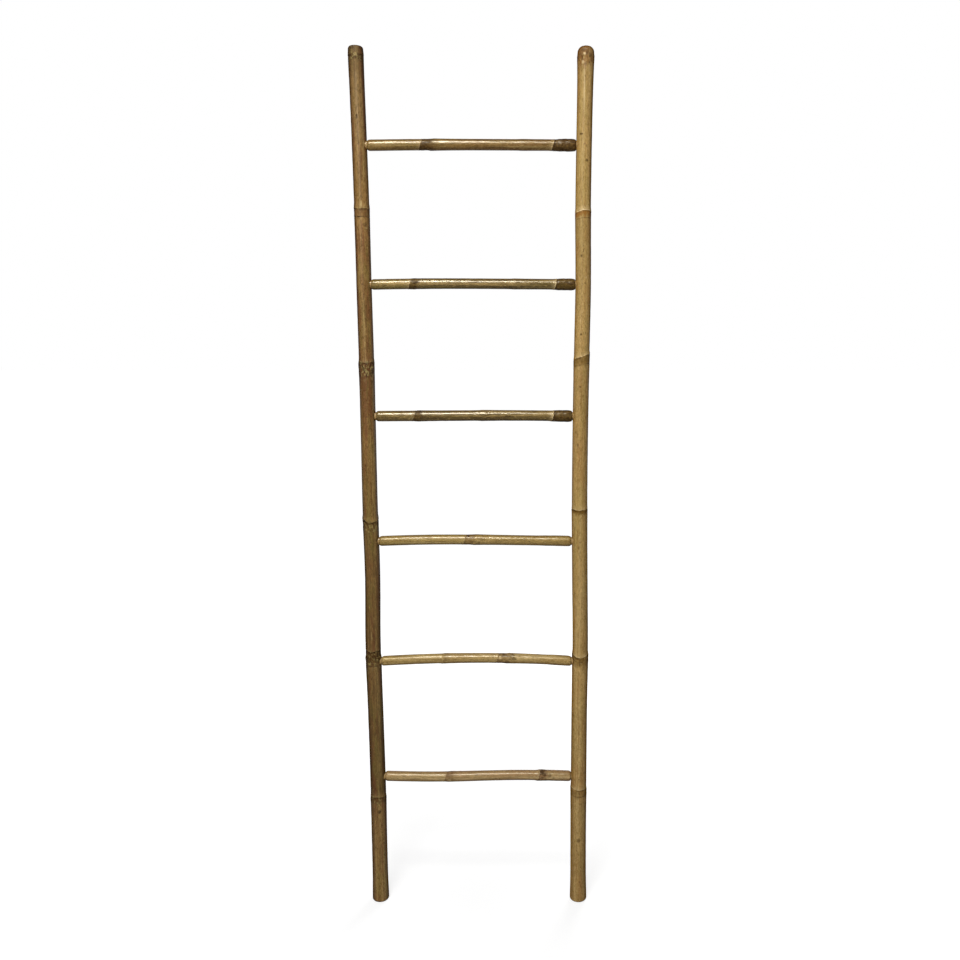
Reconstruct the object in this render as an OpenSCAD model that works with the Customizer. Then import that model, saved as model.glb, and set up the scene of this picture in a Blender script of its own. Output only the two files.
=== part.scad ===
// Towel ladder of solid rattan cane: two tall poles and six rungs.
// Each rung ends in a turned tenon that sits in a drilled socket of its pole, and
// one small brad through the front of the pole locks each tenon.
// X runs across the ladder, Y from front to back and Z up. Sizes are in millimetres.

/* [Poles] */
// Height of each pole from its foot to its top
pole_height = 1900; // [1800:5:2100]
// Distance between the centre lines of the two poles
pole_spacing = 464; // [380:2:560]
// Diameter of the left pole's plain stem at its foot
left_foot_d = 36; // [34:0.5:42]
// Diameter of the left pole's plain stem at its top
left_top_d = 30.6; // [29:0.2:36]
// Diameter of the right pole's plain stem at its foot
right_foot_d = 36.8; // [34:0.2:42]
// Diameter of the right pole's plain stem at its top
right_top_d = 31.8; // [29:0.2:36]
// Largest sideways bend of a pole away from its straight line
pole_bow = 3.5; // [0:0.5:8]
// Extra radius where a pole flares out at its foot
foot_flare = 1.2; // [0:0.1:2]
// Rounded edge round the sawn foot of a pole
foot_round = 4.5; // [1:0.5:6]
// Height of the rounded top of the left pole
left_top_round = 5; // [4:0.5:14]
// Height of the rounded top of the right pole
right_top_round = 10; // [4:0.5:14]

/* [Leaf scars] */
// Usual distance from one leaf scar of a pole to the next
internode = 325; // [280:5:400]
// How far a usual leaf scar of a pole stands out of the stem
scar_swell = 1; // [0.4:0.1:1.6]
// Length below a pole's scar over which the swelling dies away
scar_tail = 42; // [25:1:60]
// Length above a pole's scar over which the swelling rises
scar_rise = 6; // [4:0.5:12]
// How far a usual scar climbs from one side of a pole to the other
scar_slant = 9; // [0:1:14]
// How far a usual leaf scar of a rung stands out of the stem
rung_scar_swell = 0.8; // [0.3:0.1:1.2]
// Length below a rung's scar over which the swelling dies away
rung_scar_tail = 34; // [20:1:50]
// How far a usual scar runs along a rung from one side to the other
rung_scar_slant = 5; // [0:0.5:9]

/* [Rungs] */
// Height of the lowest rung's tenons above the floor
lowest_rung = 311.5; // [240:0.5:340]
// Distance from one rung to the next
rung_pitch = 279.3; // [240:0.1:284]
// Largest hand-made error in the height of a rung
rung_nudge = 1.6; // [0:0.2:4]
// Usual diameter of a rung's plain stem
rung_d = 22.4; // [21:0.2:26]
// Most that a rung's stem is thicker than usual
rung_spread = 0.7; // [0:0.1:1.4]
// Rise of the most arched rung in the middle of its length
rung_arch = 7; // [0:0.5:12]
// Extra radius of the thick root end that some rungs have
rung_root_swell = 1.2; // [0:0.1:2.5]
// Length of that thick root end
rung_root_length = 40; // [25:1:60]
// Length over which a rung is rounded off towards its shoulder
shoulder_length = 5; // [2:0.5:8]
// How much the radius of a rung falls over that length
shoulder_depth = 2.4; // [0.4:0.2:4]

/* [Joints] */
// Diameter of the tenon at each end of a rung
tenon_d = 17.6; // [13:0.2:18.4]
// How far a tenon reaches past the centre line of its pole
tenon_reach = 7; // [4:0.5:9]
// Gap between a rung's shoulder and the face of its pole, as usual
neck = 1.8; // [1.2:0.2:5]
// Clearance all round a tenon in its socket
tenon_clearance = 0.1; // [0.05:0.05:0.3]
// Gap between the end of a tenon and the floor of its socket
socket_end_gap = 0.3; // [0.1:0.1:1]

/* [Brads] */
// Diameter of a brad's shank
brad_d = 1.8; // [1.2:0.1:2.4]
// Length of a brad from under its head to its point
brad_length = 20; // [16:0.5:22]
// Diameter of a brad's head
brad_head_d = 3.6; // [3:0.1:4.5]
// Thickness of a brad's head
brad_head_h = 0.7; // [0.5:0.1:1.2]
// Length of a brad's point
brad_point = 3; // [2:0.5:4]
// How deep a brad's head is set below the face of the pole
brad_sink = 0.3; // [0:0.1:0.8]
// Clearance round a brad in its hole
brad_clearance = 0.05; // [0.02:0.01:0.1]

/* [Hidden] */

// The two poles, as the index of each list that has one entry a pole
LEFT = 0;
RIGHT = 1;
side_sign = [-1, 1];
foot_d = [left_foot_d, right_foot_d];
top_d = [left_top_d, right_top_d];
top_round = [left_top_round, right_top_round];

// Sideways bends at even steps up each pole, as shares of the largest bend
pole_bends = [
    [-0.7, -0.5, -0.3, -0.55, -0.85, 0.15, -0.05, 0.25, 0.4, 0.25, 0.25, -0.1, -0.6],
    [0.6, 0.3, 0.2, 0.25, 0.5, -0.15, -0.7, -0.7, -0.3, 0.25, -0.2, 0.1, 0.6]];
// Bends towards the front or the back at the same steps
pole_leans = [
    [0, 0.1, 0.25, 0.3, 0.2, 0, -0.2, -0.3, -0.2, 0, 0.15, 0.15, 0],
    [0, -0.15, -0.2, -0.1, 0.1, 0.25, 0.3, 0.2, 0, -0.15, -0.2, -0.1, 0.1]];
// Leaf scars of each pole: height in internodes, share of the swelling, way it slants
pole_scars = [
    [[0.8, 0.9, 20], [1.84, 1, 330], [2.83, 1.1, 90], [3.88, 1.1, 60], [4.87, 0.7, 20], [5.8, 0.7, 60]],
    [[0.86, 1, 10], [1.85, 1.3, 90], [2.89, 0.5, 90], [3.92, 0.9, 0], [4.85, 0.6, 320], [5.78, 1.1, 30],
        [5.81, 1, 30]]];

// Leaf scars of each rung from the top one down: share of the rung's length from its root
// end, share of the swelling, way it slants
rung_scars = [
    [[0.26, 0.6, 30], [0.69, 1.2, 200]],
    [[0.3, 0.6, 160], [0.8, 0.6, 20]],
    [[0.46, 0.9, 340], [0.78, 0.8, 190]],
    [[0.14, 0.6, 20], [0.5, 1.1, 170]],
    [[0.1, 0.6, 200], [0.33, 1.2, 20], [0.67, 1, 150]],
    [[0.17, 1.7, 340], [0.65, 0.8, 190]]];
// Thick root end, arch, sway and height error of each rung, as shares of the named sizes
rung_roots = [1, 1, 1, 0.4, 0.3, 0.3];
rung_arches = [0.2, 0.25, 0.2, 0.45, 1, 0.02];
rung_sways = [0.03, 0.05, -0.05, 0.1, -0.03, -0.28];
rung_nudges = [0.2, -1, -0.9, 0.2, 0.4, 0];
// How much thicker each rung's stem is than usual, as a share of the named size
rung_spreads = [0.1, -0.4, 1, 0, -0.3, 0.5];
// Width of the gap at each shoulder, as a share of the usual one
neck_shares = [
    [0.9, 0.4, 1.4, 1, 0.9, 0.9],
    [0.3, 0.3, 0.9, 1.3, 1.1, 0.3]];
// Small sideways errors of the brads, as shares of a brad's head
brad_errors = [
    [0.1, -0.3, 0.15, 0.3, -0.2, 0.1],
    [0.2, -0.6, 0.5, 0, 0.3, -0.2]];

// Heights beside a rung's shoulder at which its pole is measured, as shares of a rung's diameter
face_heights = [-0.75, -0.5, -0.25, 0, 0.25, 0.5, 0.75];

// Corners round a pole and round a rung, and steps of a rounded edge
pole_sides = 20;
rung_sides = 16;
edge_steps = 3;
$fn = 48;

// Rings near a leaf scar, as shares of its tail below it and of its rise above it
tail_rings = [-2.2, -1.1, -0.5, -0.2, -0.05];
rise_rings = [0.2, 0.6, 1, 2];
// Rings in the plain stretch between two scars, and in the thick root end of a rung
plain_rings = [0.25, 0.5, 0.75];
root_rings = [0.3, 0.55, 0.7, 0.82, 1];
// Least distance from one ring to the next
ring_gap = 0.4;

// Smooth curve through evenly spaced values, at t from 0 to 1
function smooth_curve(values, t) =
    let(last = len(values) - 1,
        i = min(floor(t * last), last - 1),
        u = t * last - i,
        a = values[max(i - 1, 0)],
        b = values[i],
        c = values[i + 1],
        d = values[min(i + 2, last)])
    b + u / 2 * (c - a + u * (2 * a - 5 * b + 4 * c - d + u * (3 * b - a - 3 * c + d)));

// Total of a list of numbers
function total(values) = values * [for (v = values) 1];

// Swelling at height z of a stem with leaf scars at [height, share, way]
function swelling(z, scars, tail, rise) = total([for (s = scars)
    let(up = z - s[0]) s[1] * (up < 0 ? exp(up / tail) : exp(-pow(up / rise, 2)))]);

// Slant of the ring at height z, seen at an angle round the stem
function slanting(z, angle, scars, reach, end) = total([for (s = scars)
    exp(-pow((z - s[0]) / reach, 2)) * cos(angle - s[2]) / 2]) * min(1, z / reach, (end - z) / reach);

// Heights of the rings of a stem between its two rounded ends
function stem_rings(scars, tail, rise, start, end) =
    let(marks = concat([start], [for (s = scars) s[0]], [end]),
        all = [for (k = [0 : len(marks) - 2])
            let(low = marks[k], high = marks[k + 1],
                first = low + (k == 0 ? 0 : rise_rings[3] * rise),
                last = high + (k == len(marks) - 2 ? 0 : tail_rings[0] * tail))
            each concat(
                k == 0 ? [] : [for (s = rise_rings) low + s * rise],
                [for (s = plain_rings) first + s * (last - first)],
                k == len(marks) - 2 ? [] : [for (s = tail_rings) high + s * tail])])
    [for (k = [0 : len(all) - 1])
        let(below = max([for (j = [0 : k]) j < k ? all[j] : start]))
        if (all[k] > max(start, below) + ring_gap && all[k] < end - ring_gap) all[k]];

// Poles

function scars_of_pole(side) = [for (s = pole_scars[side]) [s[0] * internode, s[1], s[2]]];
function pole_x(side, z) =
    side_sign[side] * pole_spacing / 2 + pole_bow * smooth_curve(pole_bends[side], z / pole_height);
function pole_y(side, z) = pole_bow * smooth_curve(pole_leans[side], z / pole_height);
function pole_r(side, z) =
    (foot_d[side] + (top_d[side] - foot_d[side]) * z / pole_height) / 2
    + scar_swell * swelling(z, scars_of_pole(side), scar_tail, scar_rise)
    + foot_flare * exp(-pow(z / scar_tail, 2));

// Widest the pole gets beside a rung's shoulder
function pole_face(side, z) = max([for (share = face_heights) pole_r(side, z + share * rung_d)]);

// Closed skin over rings of points, each with the same number of points
module skin(rings) {
    sides = len(rings[0]);
    last = len(rings) - 1;
    walls = [for (j = [0 : last - 1], i = [0 : sides - 1])
        let(low = j * sides, high = low + sides, next = (i + 1) % sides)
        each [[low + i, high + i, high + next], [low + i, high + next, low + next]]];
    foot = [for (i = [0 : sides - 1]) i];
    head = [for (i = [sides - 1 : -1 : 0]) last * sides + i];
    polyhedron([for (r = rings) each r], concat(walls, [foot, head]));
}

// Rings of a rounded end as [distance from the end, inset]
function rounded_end(height, depth) = [for (t = [0 : edge_steps])
    [height * (1 - cos(90 * t / edge_steps)), depth * (1 - sin(90 * t / edge_steps))]];

module pole_stem(side) {
    scars = scars_of_pole(side);
    crown = top_round[side];
    foot_rings = rounded_end(foot_round, foot_round);
    top_rings = rounded_end(crown, crown);
    levels = concat(
        foot_rings,
        [for (z = stem_rings(scars, scar_tail, scar_rise, foot_round, pole_height - crown)) [z, 0]],
        [for (t = [edge_steps : -1 : 0]) [pole_height - top_rings[t][0], top_rings[t][1]]]);
    skin([for (level = levels)
        let(z = level[0], r = pole_r(side, z) - level[1])
        [for (i = [0 : pole_sides - 1])
            let(angle = 360 * i / pole_sides,
                lift = scar_slant * slanting(z, angle, scars, scar_tail, pole_height))
            [pole_x(side, z) + r * cos(angle), pole_y(side, z) + r * sin(angle), z + lift]]]);
}

// Rungs, counted from the top one down

function rung_z(n) = lowest_rung + (6 - n) * rung_pitch + rung_nudge * rung_nudges[n - 1];
function shoulder_x(n, side) =
    pole_x(side, rung_z(n)) - side_sign[side] * (pole_face(side, rung_z(n)) + neck * neck_shares[side][n - 1]);
function rung_length(n) = shoulder_x(n, RIGHT) - shoulder_x(n, LEFT);
function scars_of_rung(n) = [for (s = rung_scars[n - 1]) [s[0] * rung_length(n), s[1], s[2]]];

// Rise of a rung's centre line at a distance from its root end
function rung_rise(n, s) =
    let(u = 2 * s / rung_length(n) - 1)
    rung_arch * (rung_arches[n - 1] * (1 - u * u) + rung_sways[n - 1] * sin(180 * u));
function rung_r(n, s) =
    (rung_d + rung_spread * rung_spreads[n - 1]) / 2
    + rung_scar_swell * swelling(s, scars_of_rung(n), rung_scar_tail, scar_rise)
    + rung_root_swell * rung_roots[n - 1] / (1 + exp((s - rung_root_length) / (rung_root_length / 12)));

// The stem runs from its root end at the right pole to its tip at the left pole
module rung_stem(n) {
    long = rung_length(n);
    scars = scars_of_rung(n);
    root_round = shoulder_length * (1 + rung_roots[n - 1]);
    depths = [for (s = [0, long]) min(shoulder_depth, rung_r(n, s) - tenon_d / 2 - 2 * tenon_clearance)];
    root = rounded_end(root_round, depths[0]);
    tip = rounded_end(shoulder_length, depths[1]);
    root_end = 1.3 * rung_root_length;
    levels = concat(
        root,
        [for (share = root_rings) if (share * root_end > root_round) [share * root_end, 0]],
        [for (s = stem_rings(scars, rung_scar_tail, scar_rise, root_end, long - shoulder_length)) [s, 0]],
        [for (t = [edge_steps : -1 : 0]) [long - tip[t][0], tip[t][1]]]);
    skin([for (level = levels)
        let(s = level[0], r = rung_r(n, s) - level[1])
        [for (i = [0 : rung_sides - 1])
            let(angle = 360 * i / rung_sides,
                shift = rung_scar_slant * slanting(s, angle, scars, rung_scar_tail, long))
            [rung_rise(n, s) + r * cos(angle), r * sin(angle), s + shift]]]);
}

// Distance of a tenon's end from the middle of the ladder
function tenon_end_x(n, side) = pole_x(side, rung_z(n)) + side_sign[side] * tenon_reach;
// A tenon, or its socket when the room round it is given; start is where it leaves the rung
module tenon(n, side, start, room, end_room) {
    end = tenon_end_x(n, side) + side_sign[side] * end_room;
    translate([min(start, end), 0, rung_z(n)])
        rotate([0, 90, 0])
            cylinder(d = tenon_d + 2 * room, h = abs(end - start));
}

// Brads

function brad_x(n, side) = pole_x(side, rung_z(n)) + brad_head_d * brad_errors[side][n - 1];
function brad_seat_y(n, side) =
    pole_y(side, rung_z(n)) - pole_r(side, rung_z(n)) + brad_sink + brad_head_h;

// A brad, or the hole it was driven into when the room round it is given
module brad_form(n, side, room, head_room) {
    translate([brad_x(n, side), brad_seat_y(n, side), rung_z(n)])
        rotate([-90, 0, 0]) {
            cylinder(d = brad_d + 2 * room, h = brad_length - brad_point);
            translate([0, 0, brad_length - brad_point])
                cylinder(d1 = brad_d + 2 * room, d2 = brad_d / 4, h = brad_point + room);
            translate([0, 0, -brad_head_h - head_room])
                cylinder(d = brad_head_d + 2 * room, h = brad_head_h + head_room);
        }
}

// Sub-parts

module pole(side) {
    difference() {
        pole_stem(side);
        for (n = [1 : 6]) {
            tenon(n, side, shoulder_x(n, side), tenon_clearance, socket_end_gap);
            brad_form(n, side, brad_clearance, foot_d[side]);
        }
    }
}

module rung(n) {
    overlap = rung_root_length / 4;
    difference() {
        union() {
            translate([shoulder_x(n, RIGHT), 0, rung_z(n)])
                rotate([0, -90, 0])
                    rung_stem(n);
            for (side = [LEFT, RIGHT])
                tenon(n, side, shoulder_x(n, side) - side_sign[side] * overlap, 0, 0);
        }
        for (side = [LEFT, RIGHT])
            brad_form(n, side, brad_clearance, 0);
    }
}

module brad(n, side) {
    brad_form(n, side, 0, 0);
}

module left_pole() { color([0.45, 0.34, 0.21]) pole(LEFT); }
module right_pole() { color([0.66, 0.53, 0.32]) pole(RIGHT); }
module rung_1() { color([0.72, 0.58, 0.33]) rung(1); }
module rung_2() { color([0.69, 0.56, 0.33]) rung(2); }
module rung_3() { color([0.68, 0.54, 0.32]) rung(3); }
module rung_4() { color([0.66, 0.53, 0.31]) rung(4); }
module rung_5() { color([0.67, 0.54, 0.32]) rung(5); }
module rung_6() { color([0.65, 0.52, 0.31]) rung(6); }
module brad_1_left() { color("dimgray") brad(1, LEFT); }
module brad_2_left() { color("dimgray") brad(2, LEFT); }
module brad_3_left() { color("dimgray") brad(3, LEFT); }
module brad_4_left() { color("dimgray") brad(4, LEFT); }
module brad_5_left() { color("dimgray") brad(5, LEFT); }
module brad_6_left() { color("dimgray") brad(6, LEFT); }
module brad_1_right() { color("dimgray") brad(1, RIGHT); }
module brad_2_right() { color("dimgray") brad(2, RIGHT); }
module brad_3_right() { color("dimgray") brad(3, RIGHT); }
module brad_4_right() { color("dimgray") brad(4, RIGHT); }
module brad_5_right() { color("dimgray") brad(5, RIGHT); }
module brad_6_right() { color("dimgray") brad(6, RIGHT); }

left_pole();
right_pole();
rung_1();
rung_2();
rung_3();
rung_4();
rung_5();
rung_6();
brad_1_left();
brad_2_left();
brad_3_left();
brad_4_left();
brad_5_left();
brad_6_left();
brad_1_right();
brad_2_right();
brad_3_right();
brad_4_right();
brad_5_right();
brad_6_right();
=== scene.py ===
"""Towel ladder of lacquered rattan cane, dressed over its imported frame.

Two grown poles carry six thinner rungs. Each rung ends in a bare tenon in a drilled
socket, and a small brad through the front of the pole locks it. The canes are extruded
ring by ring, swollen and bent as they grew, and drilled last. Lengths are in metres.
"""

import logging
import math
import random
from dataclasses import dataclass, replace
from enum import Enum

import bmesh
import bpy
import numpy as np
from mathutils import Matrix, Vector, kdtree, noise


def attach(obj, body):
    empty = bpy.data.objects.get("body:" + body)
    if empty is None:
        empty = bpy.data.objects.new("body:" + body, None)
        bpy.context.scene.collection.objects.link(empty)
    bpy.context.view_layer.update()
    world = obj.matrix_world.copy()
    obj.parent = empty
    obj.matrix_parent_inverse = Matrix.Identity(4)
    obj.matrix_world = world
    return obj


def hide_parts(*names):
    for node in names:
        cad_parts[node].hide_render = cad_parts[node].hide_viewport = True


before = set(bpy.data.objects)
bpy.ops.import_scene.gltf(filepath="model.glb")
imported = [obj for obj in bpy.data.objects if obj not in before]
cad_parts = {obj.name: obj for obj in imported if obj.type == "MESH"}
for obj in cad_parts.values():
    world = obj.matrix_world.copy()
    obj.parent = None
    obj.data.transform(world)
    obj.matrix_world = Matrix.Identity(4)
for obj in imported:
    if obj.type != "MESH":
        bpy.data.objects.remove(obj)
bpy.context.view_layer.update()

LOG = logging.getLogger("towel_ladder")
MM = 0.001
BODY = "root"

Colour = tuple[float, float, float, float]
Shade = tuple[int, int, int]
Point = tuple[float, float, float]


def srgb(red: int, green: int, blue: int) -> Colour:
    """Turn a colour as a screen shows it into the linear colour of a shader.

    Args:
        red: Red from 0 to 255.
        green: Green from 0 to 255.
        blue: Blue from 0 to 255.

    Returns:
        The linear colour with full alpha.
    """
    shares = [channel / 255 for channel in (red, green, blue)]
    linear = [s / 12.92 if s <= 0.04045 else ((s + 0.055) / 1.055) ** 2.4 for s in shares]
    return (linear[0], linear[1], linear[2], 1.0)


class Side(Enum):
    """The two poles, with the index of each list that has one entry a pole."""

    LEFT = 0
    RIGHT = 1

    @property
    def sign(self) -> int:
        """Way along X from the middle of the ladder to this pole."""
        return -1 if self is Side.LEFT else 1


class Push(Enum):
    """Ways in which a painted offset can move the skin of a cane."""

    OUTWARD = "NORMAL"
    ACROSS = "X"
    BACK = "Y"
    ALONG = "Z"


# Sizes of the ladder, the same as those of its solid model

POLE_HEIGHT = 1900 * MM
POLE_SPACING = 464 * MM
POLE_BOW = 3.5 * MM
FOOT_D = (36 * MM, 36.8 * MM)
TOP_D = (30.6 * MM, 31.8 * MM)
FOOT_FLARE = 1.2 * MM
FOOT_ROUND = 4.5 * MM
TOP_ROUND = (5 * MM, 10 * MM)
INTERNODE = 325 * MM
SCAR_SWELL = 1 * MM
SCAR_TAIL = 42 * MM
SCAR_RISE = 6 * MM
RUNG_SCAR_SWELL = 0.8 * MM
RUNG_SCAR_TAIL = 34 * MM
RUNG_COUNT = 6
LOWEST_RUNG = 311.5 * MM
RUNG_PITCH = 279.3 * MM
RUNG_NUDGE = 1.6 * MM
RUNG_D = 22.4 * MM
RUNG_SPREAD = 0.7 * MM
RUNG_ARCH = 7 * MM
ROOT_SWELL = 1.2 * MM
ROOT_LENGTH = 40 * MM
SHOULDER_LENGTH = 5 * MM
SHOULDER_DEPTH = 2.4 * MM
TENON_D = 17.6 * MM
TENON_REACH = 7 * MM
TENON_CHAMFER = 0.8 * MM
NECK = 1.8 * MM
TENON_CLEARANCE = 0.1 * MM
SOCKET_END_GAP = 0.3 * MM
BRAD_D = 1.8 * MM
BRAD_LENGTH = 20 * MM
BRAD_HEAD_D = 3.6 * MM
BRAD_HEAD_H = 0.7 * MM
BRAD_SINK = 0.3 * MM
BRAD_CLEARANCE = 0.05 * MM

# Fineness of the meshes

RINGS_PLAIN = 8 * MM
RINGS_BAND = 3 * MM
RINGS_LINE = 0.9 * MM
RINGS_TIP = 2.2 * MM
RINGS_ROUND = 0.6 * MM
RINGS_FOOT = 0.5 * MM
RINGS_TENON = 5 * MM
EDGE_STEP = 0.2 * MM
SOCKET_SIDES = 48
HOLE_SIDES = 24

POLE_BENDS = (
    (-0.7, -0.5, -0.3, -0.55, -0.85, 0.15, -0.05, 0.25, 0.4, 0.25, 0.25, -0.1, -0.6),
    (0.6, 0.3, 0.2, 0.25, 0.5, -0.15, -0.7, -0.7, -0.3, 0.25, -0.2, 0.1, 0.6))
POLE_LEANS = (
    (0, 0.1, 0.25, 0.3, 0.2, 0, -0.2, -0.3, -0.2, 0, 0.15, 0.15, 0),
    (0, -0.15, -0.2, -0.1, 0.1, 0.25, 0.3, 0.2, 0, -0.15, -0.2, -0.1, 0.1))
RUNG_ROOTS = (1, 1, 1, 0.4, 0.3, 0.3)
RUNG_ARCHES = (0.2, 0.25, 0.2, 0.45, 1, 0.02)
RUNG_SWAYS = (0.03, 0.05, -0.05, 0.1, -0.03, -0.28)
RUNG_NUDGES = (0.2, -1, -0.9, 0.2, 0.4, 0)
RUNG_SPREADS = (0.1, -0.4, 1, 0, -0.3, 0.5)
NECK_SHARES = ((0.9, 0.4, 1.4, 1, 0.9, 0.9), (0.3, 0.3, 0.9, 1.3, 1.1, 0.3))
BRAD_ERRORS = ((0.1, -0.3, 0.15, 0.3, -0.2, 0.1), (0.2, -0.6, 0.5, 0, 0.3, -0.2))
FACE_HEIGHTS = (-0.75, -0.5, -0.25, 0, 0.25, 0.5, 0.75)


def smooth_curve(values: tuple[float, ...], share: np.ndarray) -> np.ndarray:
    """Follow a smooth curve through evenly spaced values.

    Args:
        values: The values that the curve passes through.
        share: Places along the curve, from 0 to 1.

    Returns:
        The curve's value at each place.
    """
    last = len(values) - 1
    first = np.minimum(np.floor(share * last).astype(int), last - 1)
    u = share * last - first
    v = np.asarray(values, dtype=float)
    a, b, c, d = (v[np.clip(first + step, 0, last)] for step in (-1, 0, 1, 2))
    return b + u / 2 * (c - a + u * (2 * a - 5 * b + 4 * c - d + u * (3 * b - a - 3 * c + d)))


def quarter_round(distance: np.ndarray, length: float, depth: float) -> np.ndarray:
    """Inset, at distances from a rounded end, that grows over a length to its depth."""
    left = np.clip(1 - distance / length, 0, 1)
    return depth * (1 - np.sqrt(np.clip(1 - left * left, 0, 1)))


def bell(place: np.ndarray, middle: float, width: float) -> np.ndarray:
    """Curve that is 1 at its middle, and about a third at its width from there."""
    return np.exp(-np.square((place - middle) / width))


# Leaf scars


@dataclass(frozen=True)
class Scar:
    """One leaf scar of a cane, where a leaf's sheath was torn off.

    Attributes:
        at: Distance of its swelling from the cane's root end.
        swell: Share of the usual swelling.
        line: How far the torn line lies past the swelling, towards the tip.
        edge: Lift of the torn line at eight even steps round the cane, from its local X.
        band: Width of the darker band on the root side of the line.
        dark: How dark that band is.
        mottle: How blotched the band is.
        lip: How pale the torn edge is.
        crack: How dark the line right under the torn edge is.
        ring: Distance of the dark ring under the torn edge, in millimetres; 0 for none.
        ruddy: How much the band leans to its ruddy colour.
        plain: Whether the place is only swollen and bears no mark.
    """

    at: float
    swell: float
    line: float = 0.0
    edge: tuple[float, ...] = (0, 0, 0, 0, 0, 0, 0, 0)
    band: float = 14 * MM
    dark: float = 0.5
    mottle: float = 0.3
    lip: float = 0.3
    crack: float = 0.6
    ring: float = 0.0
    ruddy: float = 0.0
    plain: bool = False

    @property
    def place(self) -> float:
        """Mean distance of the torn line from the root end."""
        return self.at + self.line

    def swelling(self, along: np.ndarray, tail: float, rise: float) -> np.ndarray:
        """Share of the swelling at distances from the root end.

        Args:
            along: Distances from the root end.
            tail: Length over which the swelling fades towards the root end.
            rise: Length over which it fades beyond the scar.

        Returns:
            The share at each distance.
        """
        up = along - self.at
        falling = np.exp(np.minimum(up, 0) / tail)
        return self.swell * np.where(up < 0, falling, bell(np.maximum(up, 0), 0, rise))

    def torn_line(self, angle: np.ndarray) -> np.ndarray:
        """Lift of the torn line, with its small teeth, at angles round the cane.

        Args:
            angle: Angles in radians.

        Returns:
            The lift of the line at each angle.
        """
        turn = angle / math.tau % 1
        steps = np.linspace(0, 1, len(self.edge) + 1)
        lift = np.interp(turn, steps, [*self.edge, self.edge[0]]) * MM
        chance = random.Random(round(self.at / MM))
        teeth = [chance.uniform(-1, 1) for _ in range(TEETH)]
        spots = sorted([0.0, *(chance.random() for _ in range(TEETH - 1)), 1.0])
        return lift + TOOTH * np.interp(turn, spots, [*teeth, teeth[0]])


@dataclass(frozen=True)
class Speck:
    """One small spot on the skin of a cane: most are marks of the skin, a few are painted
    highlights or painted shade.

    Attributes:
        at: Distance from the root end in millimetres.
        turn: Angle round the cane in degrees, from its local X.
        wide: Half its width round the cane in millimetres.
        long: Half its length along the cane in millimetres.
        depth: How dark it is; below 0 it is pale.
    """

    at: float
    turn: float
    wide: float
    long: float
    depth: float


TEETH = 17
TOOTH = 0.8 * MM
LINE_REACH = 26 * MM


def pole_scar(at: float, swell: float, line: float, *edge: float, band: float = 0.0,
              **look: float) -> Scar:
    """Describe a pole's scar by its height in internodes and its sizes in millimetres."""
    return Scar(at=at * INTERNODE, swell=swell, line=line * MM, edge=edge or (0,) * 8,
                band=band * MM, **look)


def specks(*rows: tuple[float, ...]) -> tuple[Speck, ...]:
    """Describe specks by rows of their numbers."""
    return tuple(Speck(*row) for row in rows)


POLE_SCARS = (
    (
        pole_scar(0.8, 0.9, 6, -3, -1, 1, 2, -1, 0, 1, 0,
                  band=14, dark=0.45, mottle=0.7, lip=0.35, crack=0.5),
        pole_scar(1.84, 1, 21, 0, 2, 4, 5, 3, 1, -1, 0,
                  band=34, dark=0.6, mottle=0.9, lip=0.15, crack=0.9, ring=35),
        pole_scar(2.83, 1.1, -1, 2, 4, 6, 5, 4, 3, -3, -2,
                  band=21, dark=0.5, mottle=0.95, lip=0.25, crack=1),
        pole_scar(3.88, 1.1, 5, 1, 3, 4, 3, 1, 0, -2, -1,
                  band=29, dark=0.4, mottle=1, lip=0.3, crack=0.6),
        pole_scar(4.87, 0.7, -1, 0, 1, 2, 2, 1, 0, -1, 0,
                  band=15, dark=0.6, mottle=0.3, lip=0.3, crack=0.5, ring=17, ruddy=0.9),
        pole_scar(5.8, 0.7, -2, 1, 0, -2, -2, -1, -1, 1, 0,
                  band=14, dark=0.6, mottle=0.7, lip=0.05, crack=0.6),
    ),
    (
        pole_scar(0.86, 1, 6.5, -1, 1, 3, 5, 4, 0, -1, -1,
                  band=20, dark=0.4, mottle=0.5, lip=0.5, crack=0.5, ring=17),
        pole_scar(1.85, 1.3, 6, 6, 7, 8, 7, 6, 0, -3, 1,
                  band=22, dark=0.65, mottle=0.6, lip=0.55, crack=0.7, ring=11),
        pole_scar(2.89, 0.5, 5, 2, 3, 3, 2, 1, 0, -2, 0,
                  band=10, dark=0.8, mottle=0.3, lip=0.5, crack=0.65),
        pole_scar(3.92, 0.9, 3, 8, 5, 0, -5, -7, -4, -1, 4,
                  band=20, dark=0.65, mottle=0.3, lip=0.55, crack=0.6, ring=18),
        pole_scar(4.85, 0.6, 0, -2, -3, -2, -1, -2, -3, 2, 2,
                  band=11, dark=0.7, mottle=0.1, lip=1, crack=0.3, ring=15, ruddy=0.8),
        pole_scar(5.78, 1.1, 1, 1, 2, 0, -2, -1, 0, 0, 0,
                  band=16, dark=0.3, mottle=1, lip=0, crack=0.2, ruddy=0.7),
        pole_scar(5.81, 1, 0, plain=True),
    ),
)

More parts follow.
